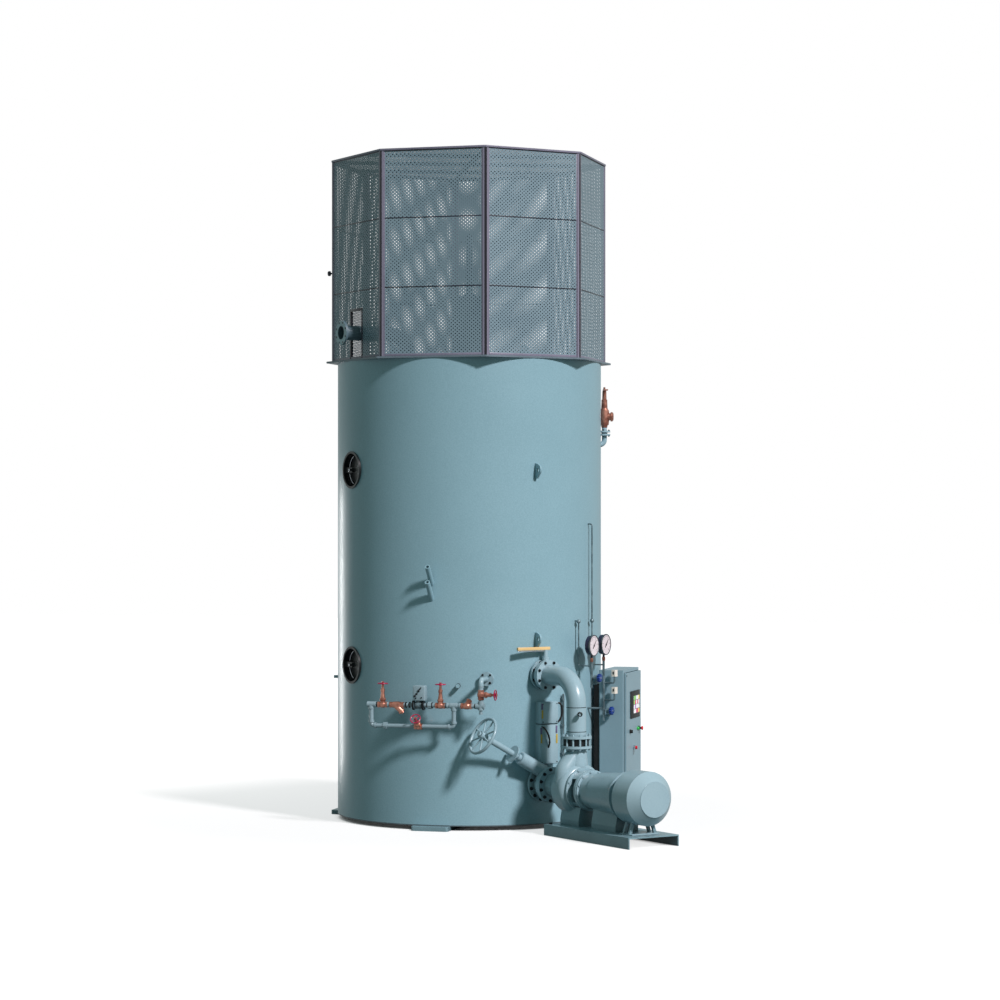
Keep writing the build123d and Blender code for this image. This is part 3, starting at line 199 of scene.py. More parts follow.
def paintedSteel(name, top, low, rough=0.38, grain=60, grainDepth=0.0004, mottle=0.5, grimeShadeReach=0.05,
                 grimeShadeShare=0.55, wave=0.0, specks=0.0):
    # Sprayed paint: soft mottling, orange peel, painted shade with grime in corners and a little dust
    make = Finish(name)
    cloud = make.noise(1.7, 4)
    peel = make.noise(grain, 2, 0.5)
    share = make.between(cloud * (1 - mottle) + peel * mottle, 0.34, 0.66)
    tone = make.mix(share, low, top)
    # Painted shade with grime: corners turn towards a dark copy of the low tone
    tone = make.mix(make.grimeAndShade(grimeShadeReach) * grimeShadeShare, tone, scaled(low, 0.35))
    if specks:
        chips = make.between(make.noise(340, 1), 0.71, 0.76) * make.between(make.noise(9, 2), 0.5, 0.6)
        tone = make.mix(chips * specks, tone, shade(70, 62, 58))
    relief = make.bump(peel, 0.5, grainDepth)
    if wave:
        relief = make.bump(make.noise(2.2, 1, stretch=(1, 1, 0.35)), 0.6, wave, relief)
    return make.surface({"Base Color": tone, "Roughness": rough + (cloud - 0.5) * 0.16 + (peel - 0.5) * 0.1,
                         "Normal": relief, "Coat Weight": 0.12, "Coat Roughness": 0.22})


def bareMetal(name, top, low, rough=0.35, grain=90, metal=1.0, depth=0.0005):
    # Cast or turned metal with darker patches and a grain
    make = Finish(name)
    patch = make.noise(11, 4)
    pits = make.noise(grain, 3, 0.6)
    tone = make.mix(make.between(patch, 0.35, 0.65), low, top)
    # Painted shade with grime: corners turn towards a dark copy of the low tone
    tone = make.mix(make.grimeAndShade(0.025) * 0.6, tone, scaled(low, 0.25))
    return make.surface({"Base Color": tone, "Metallic": metal, "Roughness": rough + (patch - 0.5) * 0.3,
                         "Normal": make.bump(pits, 0.5, depth)})


def mouldedPlastic(name, tint, rough):
    make = Finish(name)
    fine = make.noise(420, 2)
    worn = make.noise(14, 3)
    tone = make.mix(make.between(worn, 0.4, 0.75) * 0.35, tint, scaled(tint, 1.5, 0.01))
    return make.surface({"Base Color": tone, "Roughness": rough + (worn - 0.5) * 0.2,
                         "Normal": make.bump(fine, 0.35, 0.0002)})


def cornerShadedPaint(name, light, dark, low, high):
    # Light paint that turns dark near the octagon's corners, where the angle folds: painted shade in the fold
    make = Finish(name)
    flat = make.node("ShaderNodeVectorMath", {"operation": "MULTIPLY"}, {0: make.place, 1: (1, 1, 0)})
    apart = make.node("ShaderNodeVectorMath", {"operation": "LENGTH"}, {0: flat}, 1)
    worn = make.noise(90, 2)
    tone = make.mix(make.between(apart, low, high), light, dark)
    tone = make.mix(make.between(worn, 0.5, 0.8) * 0.3, tone, scaled(dark, 0.6))
    return make.surface({"Base Color": tone, "Roughness": 0.34 + (worn - 0.5) * 0.15,
                         "Normal": make.bump(worn, 0.4, 0.0004), "Coat Weight": 0.12})


# Tones as a screen shows them, and what departs from a plain coat
paints = {
    "jacketPaint": ((144, 180, 191), (135, 171, 182), dict(
        rough=0.34, grain=75, grainDepth=0.0011, mottle=0.75, grimeShadeReach=0.1, grimeShadeShare=0.6, wave=0.004)),
    "vesselSteel": ((92, 106, 112), (74, 86, 92), dict(rough=0.5, grain=80, grainDepth=0.0008)),
    "manwaySteel": ((34, 38, 40), (22, 25, 27), dict(rough=0.3, grain=90, grainDepth=0.0006)),
    # Near black all over: painted shade for the dark recess of the manway necks
    "manwayNeckPaint": ((26, 31, 33), (16, 20, 22), dict(rough=0.3, grain=80)),
    # Strong painted shade in corners and under things, within about a third of a metre
    "basePaint": ((140, 172, 181), (122, 153, 162), dict(
        rough=0.34, grain=95, grainDepth=0.0006, mottle=0.45, grimeShadeReach=0.32, grimeShadeShare=0.97, specks=0.25)),
    "deckPaint": ((112, 128, 138), (96, 110, 120), dict(rough=0.45, grain=70, specks=0.5)),
    "cagePaint": ((134, 130, 148), (110, 108, 126), dict(rough=0.36, grain=110, specks=0.4)),
    "cageDark": ((36, 38, 54), (24, 25, 38), dict(rough=0.34, grain=110, specks=0.3)),
    "screenPaint": ((130, 152, 162), (116, 138, 149), dict(rough=0.42, grain=130, grimeShadeShare=0.3)),
    "housingPaint": ((92, 114, 124), (72, 92, 102), dict(rough=0.42, grain=90)),
    "pumpPaint": ((160, 187, 196), (146, 175, 185), dict(
        rough=0.3, grain=95, grainDepth=0.0006, mottle=0.45, grimeShadeReach=0.06, grimeShadeShare=0.7, specks=0.25)),
    "pipePaint": ((150, 172, 180), (128, 152, 160), dict(rough=0.34, grain=120, grimeShadeReach=0.04, grimeShadeShare=0.7)),
    "cabinetPaint": ((138, 168, 179), (128, 158, 169), dict(rough=0.36, grain=240, mottle=0.6, grimeShadeReach=0.04)),
    "valvePaint": ((120, 146, 154), (40, 48, 52), dict(rough=0.36, grain=40)),
    "wheelPaint": ((186, 26, 78), (150, 14, 60), dict(
        rough=0.3, grain=160, grainDepth=0.0003, mottle=0.4, grimeShadeReach=0.02, grimeShadeShare=0.6, specks=0.5)),
    "leverPaint": ((244, 208, 148), (228, 190, 128), dict(rough=0.36, grain=150, specks=0.6)),
}
metals = {
    "bronze": ((208, 146, 126), (152, 94, 80), dict(rough=0.32, grain=120, metal=0.85)),
    "blackIron": ((44, 48, 50), (26, 29, 31), dict(rough=0.5, grain=150, metal=0.7)),
    "boltSteel": ((120, 128, 132), (78, 86, 90), dict(rough=0.36, grain=200, metal=0.9)),
    "darkBolt": ((52, 58, 62), (30, 34, 38), dict(rough=0.4, grain=200, metal=0.8)),
    "pipeSteel": ((126, 146, 152), (84, 102, 108), dict(rough=0.34, grain=140, metal=0.5)),
    "brightSteel": ((214, 218, 224), (176, 180, 190), dict(rough=0.18, grain=260, depth=0.0002)),
}
plastics = {
    "knobPaint": ((16, 52, 132), dict(rough=0.32)), "gaugeCase": ((26, 28, 58), dict(rough=0.25)),
    "blackPlastic": ((5, 6, 7), dict(rough=0.5)), "whitePlastic": ((240, 230, 216), dict(rough=0.42)),
    "dialWhite": ((236, 222, 226), dict(rough=0.5)), "redPlastic": ((206, 24, 44), dict(rough=0.28)),
    "greenPlastic": ((40, 170, 70), dict(rough=0.28)), "yellowTag": ((186, 160, 64), dict(rough=0.5)),
    "purpleTag": ((96, 88, 122), dict(rough=0.5)),
}
# The posts carry painted shade at the octagon's corners
finishes = {"postPaint": cornerShadedPaint("postPaint", shade(134, 130, 148), shade(22, 20, 32), low=1.6165,
                                     high=1.6185)}
for finishing, table in ((paintedSteel, paints), (bareMetal, metals), (mouldedPlastic, plastics)):
    for name, (*tones, settings) in table.items():
        finishes[name] = finishing(name, *(shade(*tone) for tone in tones), **settings)
print("finishes:", len(finishes))

# The CAD nodes that take each finish
nodeFinishes = {
    "jacketPaint": "jacket_shell lifting_lugs jacket_stubs", "vesselSteel": "jacket_floor pressure_vessel",
    "basePaint": "base_frame pump_baseplate pump_pedestals", "manwayNeckPaint": "manway_necks",
    "manwaySteel": "manway_covers manway_yokes", "deckPaint": "deck_plate", "postPaint": "cage_posts",
    "housingPaint": "electrode_housing steam_outlet",
    "bronze": "safety_valve gate_valve_left gate_valve_right strainer check_valve stop_valve bypass_valve",
    "pipePaint": "feed_line bypass_line", "valvePaint": "control_valve", "blackIron": "wafer_valve",
    "wheelPaint": "gate_wheel_left gate_wheel_right stop_wheel bypass_wheel", "leverPaint": "discharge_lever",
    "pumpPaint": "safety_pipe feed_nozzle suction_valve suction_bonnet suction_wheel pump_volute pump_bracket "
                 "pump_motor fan_cover discharge_spool discharge_valve",
    "cabinetPaint": "control_cabinet cabinet_door instrument_boxes", "pipeSteel": "gauge_piping",
    "blackPlastic": "cable_duct door_controls", "whitePlastic": "pressure_switches",
    "knobPaint": "gauge_knob_upper gauge_knob_lower", "gaugeCase": "pressure_gauges",
}
for finish, nodes in nodeFinishes.items():
    for node in nodes.split():
        for slot in cadNodes[node].material_slots:
            slot.material = finishes[finish]


# Shapes in plain mesh code; each primitive is closed and faces outwards
class Shape:
    def __init__(self):
        self.mesh = bmesh.new()

    def take(self, part, placing, edge=0.0, steps=2):
        if edge:
            bmesh.ops.bevel(part, geom=list(part.edges), offset=edge, segments=steps, affect="EDGES",
                            profile=0.5)
        bmesh.ops.transform(part, matrix=placing, verts=part.verts)
        bmesh.ops.recalc_face_normals(part, faces=part.faces)
        sheet = bpy.data.meshes.new("part")
        part.to_mesh(sheet)
        part.free()
        self.mesh.from_mesh(sheet)
        bpy.data.meshes.remove(sheet)

    def bar(self, placing, size, centre=(0, 0, 0), edge=0.0, steps=2):
        part = bmesh.new()
        bmesh.ops.create_cube(part, size=1)
        for corner in part.verts:
            corner.co = Vector([c * s + m for c, s, m in zip(corner.co, size, centre)])
        self.take(part, placing, edge, steps)

    def spin(self, placing, profile, steps=48, loop=False):
        # profile is (height, radius) pairs from low to high; a loop is a closed section
        part = bmesh.new()
        if not loop:
            profile = [(profile[0][0], 0)] + list(profile) + [(profile[-1][0], 0)]
        rings = []
        for height, radius in profile:
            count = steps if radius > 1e-6 else 1
            rings.append([part.verts.new((radius * cos(turn), radius * sin(turn), height))
                          for turn in turns(steps)[:count]])
        for low, high in list(zip(rings, rings[1:])) + ([(rings[-1], rings[0])] if loop else []):
            for k in range(steps):
                corners = dict.fromkeys(ring[at % len(ring)]
                                        for ring, at in ((low, k), (low, k + 1), (high, k + 1), (high, k)))
                if len(corners) > 2:
                    part.faces.new(list(corners))
        self.take(part, placing)

    def prism(self, placing, outline, depth, edge=0.0):
        part = bmesh.new()
        floor = part.faces.new([part.verts.new((x, y, 0)) for x, y in outline])
        top = bmesh.ops.extrude_face_region(part, geom=[floor])["geom"]
        bmesh.ops.translate(part, vec=(0, 0, depth),
                            verts=[v for v in top if isinstance(v, bmesh.types.BMVert)])
        self.take(part, placing, edge)

    def rod(self, points, radius):
        # A bent rod or hose along a smooth line
        curve = bpy.data.curves.new("rod", "CURVE")
        curve.dimensions = "3D"
        curve.bevel_depth, curve.bevel_resolution, curve.use_fill_caps = radius, 4, True
        curve.resolution_u = 8
        line = curve.splines.new("NURBS")
        line.points.add(len(points) - 1)
        for point, place in zip(line.points, points):
            point.co = (*place, 1)
        line.order_u = 3
        line.use_endpoint_u = True
        sheet = bake(linked("rod", curve))
        part = bmesh.new()
        part.from_mesh(sheet)
        bpy.data.meshes.remove(sheet)
        bmesh.ops.remove_doubles(part, verts=part.verts, dist=1e-5)
        self.take(part, Matrix())

    def add(self, sheet, placing):
        # A mesh that a recipe made, put in its place
        sheet.transform(placing)
        self.mesh.from_mesh(sheet)
        bpy.data.meshes.remove(sheet)


def piece(name, shape, finish, slot, *replaced, body="boiler", smooth=32):
    sheet = bpy.data.meshes.new(name)
    shape.mesh.to_mesh(sheet)
    shape.mesh.free()
    sheet.materials.clear()
    sheet.materials.append(finishes[finish])
    sheet.shade_smooth()
    sheet.set_sharp_from_angle(angle=radians(smooth))
    made = linked(name, sheet)
    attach(made, body)
    if replaced:
        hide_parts(*replaced)


# Geometry Nodes recipes: named sizes in, one realized mesh out
class Recipe(Tree):
    kinds = {float: "NodeSocketFloat", int: "NodeSocketInt", bpy.types.Material: "NodeSocketMaterial"}

    def __init__(self, name, **sizes):
        self.group = bpy.data.node_groups.new(name, "GeometryNodeTree")
        super().__init__(self.group)
        self.sizes, self.keys, self.given = sizes, {}, {}
        self.group.interface.new_socket("Geometry", in_out="OUTPUT", socket_type="NodeSocketGeometry")
        for key, value in sizes.items():
            socket = self.group.interface.new_socket(key, in_out="INPUT", socket_type=self.kinds[type(value)])
            self.keys[key] = socket.identifier
        entry = self.group.nodes.new("NodeGroupInput")
        for key in sizes:
            self.given[key] = Signal(self, entry.outputs[key])

    def join(self, *shapes):
        made = self.group.nodes.new("GeometryNodeJoinGeometry")
        for shape in reversed(shapes):
            self.group.links.new(shape.socket, made.inputs[0])
        return Signal(self, made.outputs[0])

    def vector(self, x=0.0, y=0.0, z=0.0):
        return self.node("ShaderNodeCombineXYZ", inputs={0: x, 1: y, 2: z})

    def prism(self, sides, radius, height, middle):
        # An upright prism with its middle at a height
        made = self.node("GeometryNodeMeshCylinder", {"fill_type": "NGON"},
                         {"Vertices": sides, "Radius": radius, "Depth": height})
        return self.node("GeometryNodeTransform",
                         inputs={"Geometry": made, "Translation": self.vector(z=middle)})

    def close(self, points, shape, **more):
        made = self.node("GeometryNodeInstanceOnPoints", inputs={"Points": points, "Instance": shape, **more})
        real = self.node("GeometryNodeRealizeInstances", inputs={0: made})
        done = self.node("GeometryNodeSetMaterial",
                         inputs={"Geometry": real, "Material": self.given["material"]})
        self.node("NodeGroupOutput", inputs={0: done})

    def make(self, **sizes):
        holder = linked("holder", bpy.data.meshes.new("holder"))
        modifier = holder.modifiers.new("recipe", "NODES")
        modifier.node_group = self.group
        for key, value in {**self.sizes, **sizes}.items():
            modifier[self.keys[key]] = value
        return bake(holder)


# Perforated sheet: diamond tiles, each with a round hole, on two interleaved grids
perforated = Recipe("perforatedSheet", columns=10, rows=10, halfStepX=0.024, halfStepY=0.02, holeRadius=0.0112,
                    octagonReach=9.0, slotHalf=-1.0, slotTop=-1.0, material=finishes["screenPaint"])
size = perforated.given
rim = perforated.node("GeometryNodeCurvePrimitiveCircle", inputs={"Resolution": 4, "Radius": 1.0})
rim = perforated.node("GeometryNodeTransform", inputs={
    "Geometry": rim, "Scale": perforated.vector(size["halfStepX"], size["halfStepY"], 1.0)})
hole = perforated.node("GeometryNodeCurvePrimitiveCircle",
                       inputs={"Resolution": 8, "Radius": size["holeRadius"]})
tile = perforated.node("GeometryNodeFillCurve", inputs={0: perforated.join(rim, hole)})
grids = []
for less in (0, 1):
    grids.append(perforated.node("GeometryNodeMeshGrid", inputs={
        "Size X": (size["columns"] - 1 - less) * size["halfStepX"] * 2,
        "Size Y": (size["rows"] - 1 - less) * size["halfStepY"] * 2,
        "Vertices X": size["columns"] - less, "Vertices Y": size["rows"] - less}))
where = perforated.node("ShaderNodeSeparateXYZ", inputs={0: perforated.node("GeometryNodeInputPosition")})
x, y = where, where.output(1)
slant = 0.70711
out = ((x.size() + y.size()) * slant > size["octagonReach"]) + (x.size() > size["octagonReach"]) \
    + (y.size() > size["octagonReach"]) + (x.size() < size["slotHalf"]) * (y < size["slotTop"])
kept = perforated.node("GeometryNodeDeleteGeometry", {"domain": "POINT"},
                       {"Geometry": perforated.join(*grids), "Selection": out > 0.5})
perforated.close(kept, tile)

# A circle of hexagon heads or nuts, each on its washer, with the stud's end through it
boltCircle = Recipe("boltCircle", count=8, radius=0.1, headRadius=0.015, headHeight=0.012, studRadius=0.008,
                    studLength=0.008, turn=0.0, seed=3, material=finishes["boltSteel"])
size = boltCircle.given
washer = boltCircle.prism(12, size["headRadius"] * 1.2, size["headHeight"] * 0.3, size["headHeight"] * 0.15)
head = boltCircle.prism(6, size["headRadius"], size["headHeight"] * 0.8, size["headHeight"] * 0.66)
stud = boltCircle.prism(8, size["studRadius"], size["studLength"],
                        size["headHeight"] + size["studLength"] * 0.4)
ring = boltCircle.node("GeometryNodeMeshCircle", inputs={"Vertices": size["count"], "Radius": size["radius"]})
ring = boltCircle.node("GeometryNodeTransform", inputs={
    "Geometry": ring, "Rotation": boltCircle.vector(z=size["turn"])})
spread = boltCircle.node("FunctionNodeRandomValue", {"data_type": "FLOAT"},
                         {2: 0.0, 3: 1.0, "Seed": size["seed"]}, 1)
boltCircle.close(ring, boltCircle.join(washer, head, stud), Rotation=boltCircle.vector(z=spread))

# A straight row of the same heads
boltRow = Recipe("boltRow", count=6, step=0.2, headRadius=0.008, headHeight=0.006,
                 material=finishes["boltSteel"])
size = boltRow.given
line = boltRow.node("GeometryNodeMeshLine", inputs={
    "Count": size["count"], "Start Location": boltRow.vector(size["step"] * (size["count"] - 1) * -0.5),
    "Offset": boltRow.vector(size["step"])})
boltRow.close(line, boltRow.prism(6, size["headRadius"], size["headHeight"], size["headHeight"] * 0.5))

# Marks round a dial: flat bars that point at its middle
dialMarks = Recipe("dialMarks", count=11, radius=0.09, length=0.012, width=0.003, start=-2.356, sweep=4.712,
                   material=finishes["blackPlastic"])
size = dialMarks.given
index = dialMarks.node("GeometryNodeInputIndex")
angle = size["start"] + size["sweep"] * index / (size["count"] - 1)
across, along = (angle.math(way, angle) * size["radius"] for way in ("SINE", "COSINE"))
points = dialMarks.node("GeometryNodePoints", inputs={
    "Count": size["count"], "Position": dialMarks.vector(across, along)})
mark = dialMarks.node("GeometryNodeMeshCube", inputs={
    "Size": dialMarks.vector(size["width"], size["length"], 0.0004)})
dialMarks.close(points, mark, Rotation=dialMarks.vector(z=0 - angle))
print("recipes ready")

# Camera, as the photograph was taken
camera = {"angle": 16.0, "distance": 33.383, "height": 3.567, "lens": 101.84, "sensor": 36, "shiftX": 0.0306,
          "shiftY": 0.0141, "farthest": 200}
eye = linked("camera", bpy.data.cameras.new("camera"))
eye.matrix_world = onBoiler(camera["angle"], camera["distance"], camera["height"])
eye.data.lens, eye.data.sensor_width = camera["lens"], camera["sensor"]
eye.data.shift_x, eye.data.shift_y = camera["shiftX"], camera["shiftY"]
eye.data.clip_end = camera["farthest"]
bpy.context.scene.camera = eye
bpy.context.scene.view_settings.view_transform = "Standard"

# Studio light: one soft sun from the front right, an even sky, white for the camera
light = {"sunAngle": 56, "sunHeight": 38, "sunStrength": 3.85, "sunSpread": 7, "sunTint": (0.92, 0.86, 0.885),
         "sunAway": 20, "sky": 0.2, "skyTint": (0.64, 1, 0.96), "floorShine": 0.64, "shadowReach": 3.2,
         "shadowFade": 2.6, "shadowAt": (-0.6, 0.6), "contact": 0.13, "glossyShare": 0.35, "stripAngle": -121,
         "stripReach": 7, "stripTall": 3.9, "stripWide": 0.35, "stripPower": 80, "floorHalf": 60}
sun = linked("sun", bpy.data.lights.new("sun", "SUN"))
sunLevel = radians(light["sunHeight"])
towards = outward(light["sunAngle"]) * cos(sunLevel) + Vector((0, 0, sin(sunLevel)))
sun.matrix_world = stand(towards * light["sunAway"], towards)
sun.data.energy, sun.data.angle = light["sunStrength"], radians(light["sunSpread"])
sun.data.color = light["sunTint"]

# A tall narrow light behind the left side, which the camera doesn't see
strip = linked("strip", bpy.data.lights.new("strip", "AREA"))
strip.data.shape, strip.data.energy = "RECTANGLE", light["stripPower"]
strip.data.size, strip.data.size_y = light["stripWide"], light["stripTall"]
strip.matrix_world = onBoiler(light["stripAngle"], light["stripReach"], light["stripTall"] / 2)
strip.visible_camera = False

world = bpy.data.worlds.new("studio")
bpy.context.scene.world = world
world.use_nodes = True
sky = Tree(world.node_tree)
sky.tree.nodes.clear()
dim = sky.node("ShaderNodeBackground", inputs={"Color": (*light["skyTint"], 1), "Strength": light["sky"]})
white = sky.node("ShaderNodeBackground", inputs={"Color": (1, 1, 1, 1), "Strength": 1.0})
sky.node("ShaderNodeOutputWorld", inputs={
    "Surface": sky.node("ShaderNodeMixShader", inputs={0: sky.seen(), 1: dim, 2: white})})

# The floor: white for the camera, with the shadow, and painted contact shade: a dark line where things stand on
# it
studio = Finish("studioFloor")
apart = studio.node("ShaderNodeVectorMath", {"operation": "DISTANCE"},
                    {0: studio.place, 1: (*light["shadowAt"], 0)}, 1)
fade = studio.between(apart, light["shadowReach"], light["shadowReach"] + light["shadowFade"])
# Painted contact shade: the glow gives way where things stand close by
near = studio.node("ShaderNodeAmbientOcclusion", {"samples": 8}, {"Distance": light["contact"]}, "AO")
shine = (light["floorShine"] + fade * (1 - light["floorShine"])) * studio.between(near, 0.15, 0.75)
pale = studio.node("ShaderNodeBsdfDiffuse", inputs={"Color": (0.92, 0.92, 0.92, 1)})
grey = studio.node("ShaderNodeBsdfDiffuse", inputs={"Color": (0.15, 0.2, 0.2, 1)})
glow = studio.node("ShaderNodeEmission", inputs={"Color": (1, 1, 1, 1), "Strength": 1.1})
shown = studio.node("ShaderNodeMixShader", inputs={0: shine, 1: pale, 2: glow})
studio.node("ShaderNodeOutputMaterial", inputs={
    "Surface": studio.node("ShaderNodeMixShader", inputs={0: studio.seen(), 1: grey, 2: shown})})
ground = bpy.data.meshes.new("floor")
ground.from_pydata([(x * light["floorHalf"], y * light["floorHalf"], 0)
                    for x, y in ((-1, -1), (1, -1), (1, 1), (-1, 1))], [], [(0, 1, 2, 3)])
ground.materials.append(studio.material)
floor = linked("floor", ground)
print("camera and light set")

# The cage's screens: a frame of bars with two rails over a perforated sheet
cage = {"apothem": 1.495, "low": 5.355, "height": 2.356, "halfWidth": 0.6, "border": 0.03, "depth": 0.025,
        "rail": 0.012, "edge": 0.002, "railEdge": 0.001, "halfStep": 0.024, "rowStep": 0.04, "hole": 0.008,
        "slotWidth": 0.26, "slotHeight": 0.555, "margin": 0.008, "trimX": 0.004, "trimY": 0.01,
        "sheetBack": 0.002}


def screenPanel(side, angle, node, body="boiler", half=cage["halfWidth"], apothem=cage["apothem"], gap=0.0):
    height, wide, deep, bevel = cage["height"] - 2 * gap, cage["border"], cage["depth"], cage["edge"]
    back = onBoiler(angle, apothem - deep, cage["low"] + gap + height / 2)
    border, dark, holes = Shape(), Shape(), Shape()
    inner, middle = 2 * (half - wide), deep / 2
    for end in (-1, 1):
        border.bar(back, (wide, height, deep), (end * (half - wide / 2), 0, middle), bevel)
        # The top bar takes the dark paint: painted shade under the roof's edge
        (dark if end > 0 else border).bar(
            back, (inner, wide, deep), (0, end * (height - wide) / 2, middle), bevel)
        dark.bar(back, (inner, cage["rail"], cage["rail"]),
                 (0, end * cage["height"] / 6, deep - cage["rail"] / 2), cage["railEdge"])
    slotSize = {}
    if side == "front_left":
        across, tall = cage["slotWidth"], cage["slotHeight"]
        for end in (-1, 1):
            dark.bar(back, (wide, tall, deep), (end * (across + wide) / 2, (tall - height) / 2, middle), bevel)
        dark.bar(back, (across + 2 * wide, wide, deep), (0, (2 * tall + wide - height) / 2, middle), bevel)
        slotSize = {"slotHalf": across / 2 + wide, "slotTop": tall + wide - height / 2}
    columns = round((half - cage["margin"]) / cage["halfStep"])
    rows = round((height - 2 * cage["margin"]) / cage["rowStep"])
    holes.add(perforated.make(columns=columns, rows=rows, halfStepX=(half - cage["trimX"]) / columns,
                              halfStepY=(height - cage["trimY"]) / rows / 2, holeRadius=cage["hole"],
                              **slotSize), moved(back, z=deep - cage["sheetBack"]))
    for kind, shape, finish in (("border", border, "cagePaint"), ("rails", dark, "cageDark"),
                                ("screen", holes, "screenPaint")):
        piece("screen_" + side + "_" + kind, shape, finish, "cage_paint", node, body=body)


screens = {"front": 0, "front_right": 45, "right": 90, "rear_right": 135, "rear_middle": 180, "rear_left": 225,
           "front_left": -45}
for side, angle in screens.items():
    screenPanel(side, angle, "cage_panel_rear" if side.startswith("rear") else "cage_panel_" + side)
door = {"half": 0.5803, "forward": 0.005, "gap": 0.006, "knobShare": 0.443, "knobSide": 0.5203,
        "knobReach": 1.5, "hingeReach": 1.512, "hingeSide": -0.5828}
screenPanel("door", -90, "cage_door", "cage_door", door["half"], cage["apothem"] + door["forward"], door["gap"])

# The roof: a perforated sheet on a spine and cross beams, with an angle round its edge
roof = {"level": 7.711, "beamDepth": 0.04, "beamWidth": 0.034, "pitch": 0.775, "turn": 22.5, "inner": 1.468,
        "outer": 1.506, "edgeLow": 7.693, "edgeRise": 0.004, "edgeWall": 0.004, "sheetShort": 0.03}


def octagonReach(offset, along, apothem):
    # How far a line runs from its middle to the octagon's side
    ways = [outward(45 * k) for k in range(8)]
    return min((apothem - offset.dot(way)) / along.dot(way) for way in ways if along.dot(way) > 1e-6)


beams = Shape()
alongBeam = Vector((cos(radians(roof["turn"])), sin(radians(roof["turn"])), 0))
acrossBeam = Vector((-alongBeam.y, alongBeam.x, 0))
for along, offset in [(acrossBeam, Vector())] + [(alongBeam, acrossBeam * roof["pitch"] * k)
                                                 for k in (-1, 0, 1)]:
    ends = [octagonReach(offset, way, roof["inner"]) for way in (along, along * -1)]
    start = offset - along * ends[1] + Vector((0, 0, roof["level"] - roof["beamDepth"] / 2))
    beams.bar(stand(start, along, (0, 0, 1)), (roof["beamDepth"], roof["beamWidth"], sum(ends)),
              (0, 0, sum(ends) / 2), 0.002)
piece("roofBeams", beams, "cageDark", "cage_paint", "cage_roof")
roofEdge = Shape()
side = 2 * roof["outer"] * tan(radians(22.5))
edgeHigh = roof["level"] + roof["edgeRise"]
for k in range(8):
    roofEdge.bar(onBoiler(45 * k, roof["outer"] - roof["edgeWall"] / 2, (roof["edgeLow"] + edgeHigh) / 2),
                 (side - 0.002, edgeHigh - roof["edgeLow"], roof["edgeWall"]), edge=0.0008)
    roofEdge.bar(onBoiler(45 * k, roof["outer"] - 0.02, roof["level"] + 0.0025),
                 (side - 0.018, 0.003, 0.036), edge=0.0006)
piece("roofEdge", roofEdge, "cagePaint", "cage_paint", "cage_roof")
roofSheet = Shape()
roofSheet.add(perforated.make(columns=int(roof["outer"] / cage["halfStep"]) + 1,
                              rows=int(2 * roof["outer"] / cage["rowStep"]) + 1,
                              halfStepX=cage["halfStep"], halfStepY=cage["rowStep"] / 2,
                              octagonReach=roof["outer"] - roof["sheetShort"], holeRadius=cage["hole"]),
              moved(Matrix(), z=roof["level"] + 0.001))
piece("roofScreen", roofSheet, "screenPaint", "cage_paint", "cage_roof")
print("screens done")

# The cage door's knob and the leaves of its hinges
knob, leaves = Shape(), Shape()
knob.spin(onBoiler(-90, door["knobReach"], cage["low"] + cage["height"] * door["knobShare"], door["knobSide"]),
          [(-0.003, 0.01), (0.052, 0.01), (0.053, 0.026), (0.056, 0.03), (0.074, 0.03), (0.08, 0.026),
           (0.083, 0.018)], 40)
for share in (0.12, 0.5, 0.88):
    at = onBoiler(-90, door["hingeReach"], cage["low"] + cage["height"] * share, door["hingeSide"])
    leaves.bar(at, (0.038, 0.06, 0.012), (0.0215, 0, -0.006), 0.0015)
    leaves.spin(upright(at.translation), [(-0.03, 0.0044), (-0.03, 0.008), (0.03, 0.008), (0.03, 0.0044)],
                20, True)
for name, shape in (("cageDoorKnob", knob), ("cageDoorHinges", leaves)):
    piece(name, shape, "cageDark", "cage_paint", "cage_door", body="cage_door")

# Flange bolts and nuts, turned about to face along or against an axis
aboutFace = Matrix.Rotation(pi, 4, "X")
pump = {"angle": 48, "level": 0.515, "riser": 2.245, "flangeBolts": 0.181, "riserBolts": 0.14925,
        "joint": 1.748, "stemTilt": 28.5, "stemReach": 1.66, "stemLevel": 0.627, "studLevel": 1.0315}


def onPump(reach, level=pump["level"], side=0.0):
    return onBoiler(pump["angle"], reach, level, side)


def bolted(shape, at, away, **sizes):
    shape.add(boltCircle.make(**sizes), at if away > 0 else at @ aboutFace)


large = {"count": 12, "headRadius": 0.016, "headHeight": 0.018, "studRadius": 0.01, "studLength": 0.014}
medium = {"count": 8, "headRadius": 0.014, "headHeight": 0.015, "studRadius": 0.009, "studLength": 0.01}
small = {"count": 8, "headRadius": 0.011, "headHeight": 0.009, "studRadius": 0.006, "studLength": 0.005}
darkBolts, paintedBolts = Shape(), Shape()
for reach, away in ((1.596, 1), (1.724, -1), (1.796, 1)):
    bolted(darkBolts, onPump(reach), away, radius=pump["flangeBolts"], turn=0.26, **large)
tilt = radians(pump["stemTilt"])
stemWay = Vector((0, 0, sin(tilt))) - sideways(pump["angle"]) * cos(tilt)
stemFoot = onPump(pump["stemReach"], pump["stemLevel"]).translation
bolted(paintedBolts, stand(stemFoot + stemWay * 0.034, stemWay), 1, radius=0.094, **small)
bolted(paintedBolts, onPump(2.582), 1, radius=0.2085, turn=0.2, **{**small, "count": 12})
bolted(paintedBolts, onPump(2.411), 1, radius=0.231, turn=0.4, **small)
for reach, away in ((1.598, 1), (1.652, -1), (1.708, 1)):
    bolted(darkBolts, onPump(reach, pump["joint"]), away, radius=pump["riserBolts"], turn=0.39, **medium)
neck = onPump(pump["riser"], 0).translation
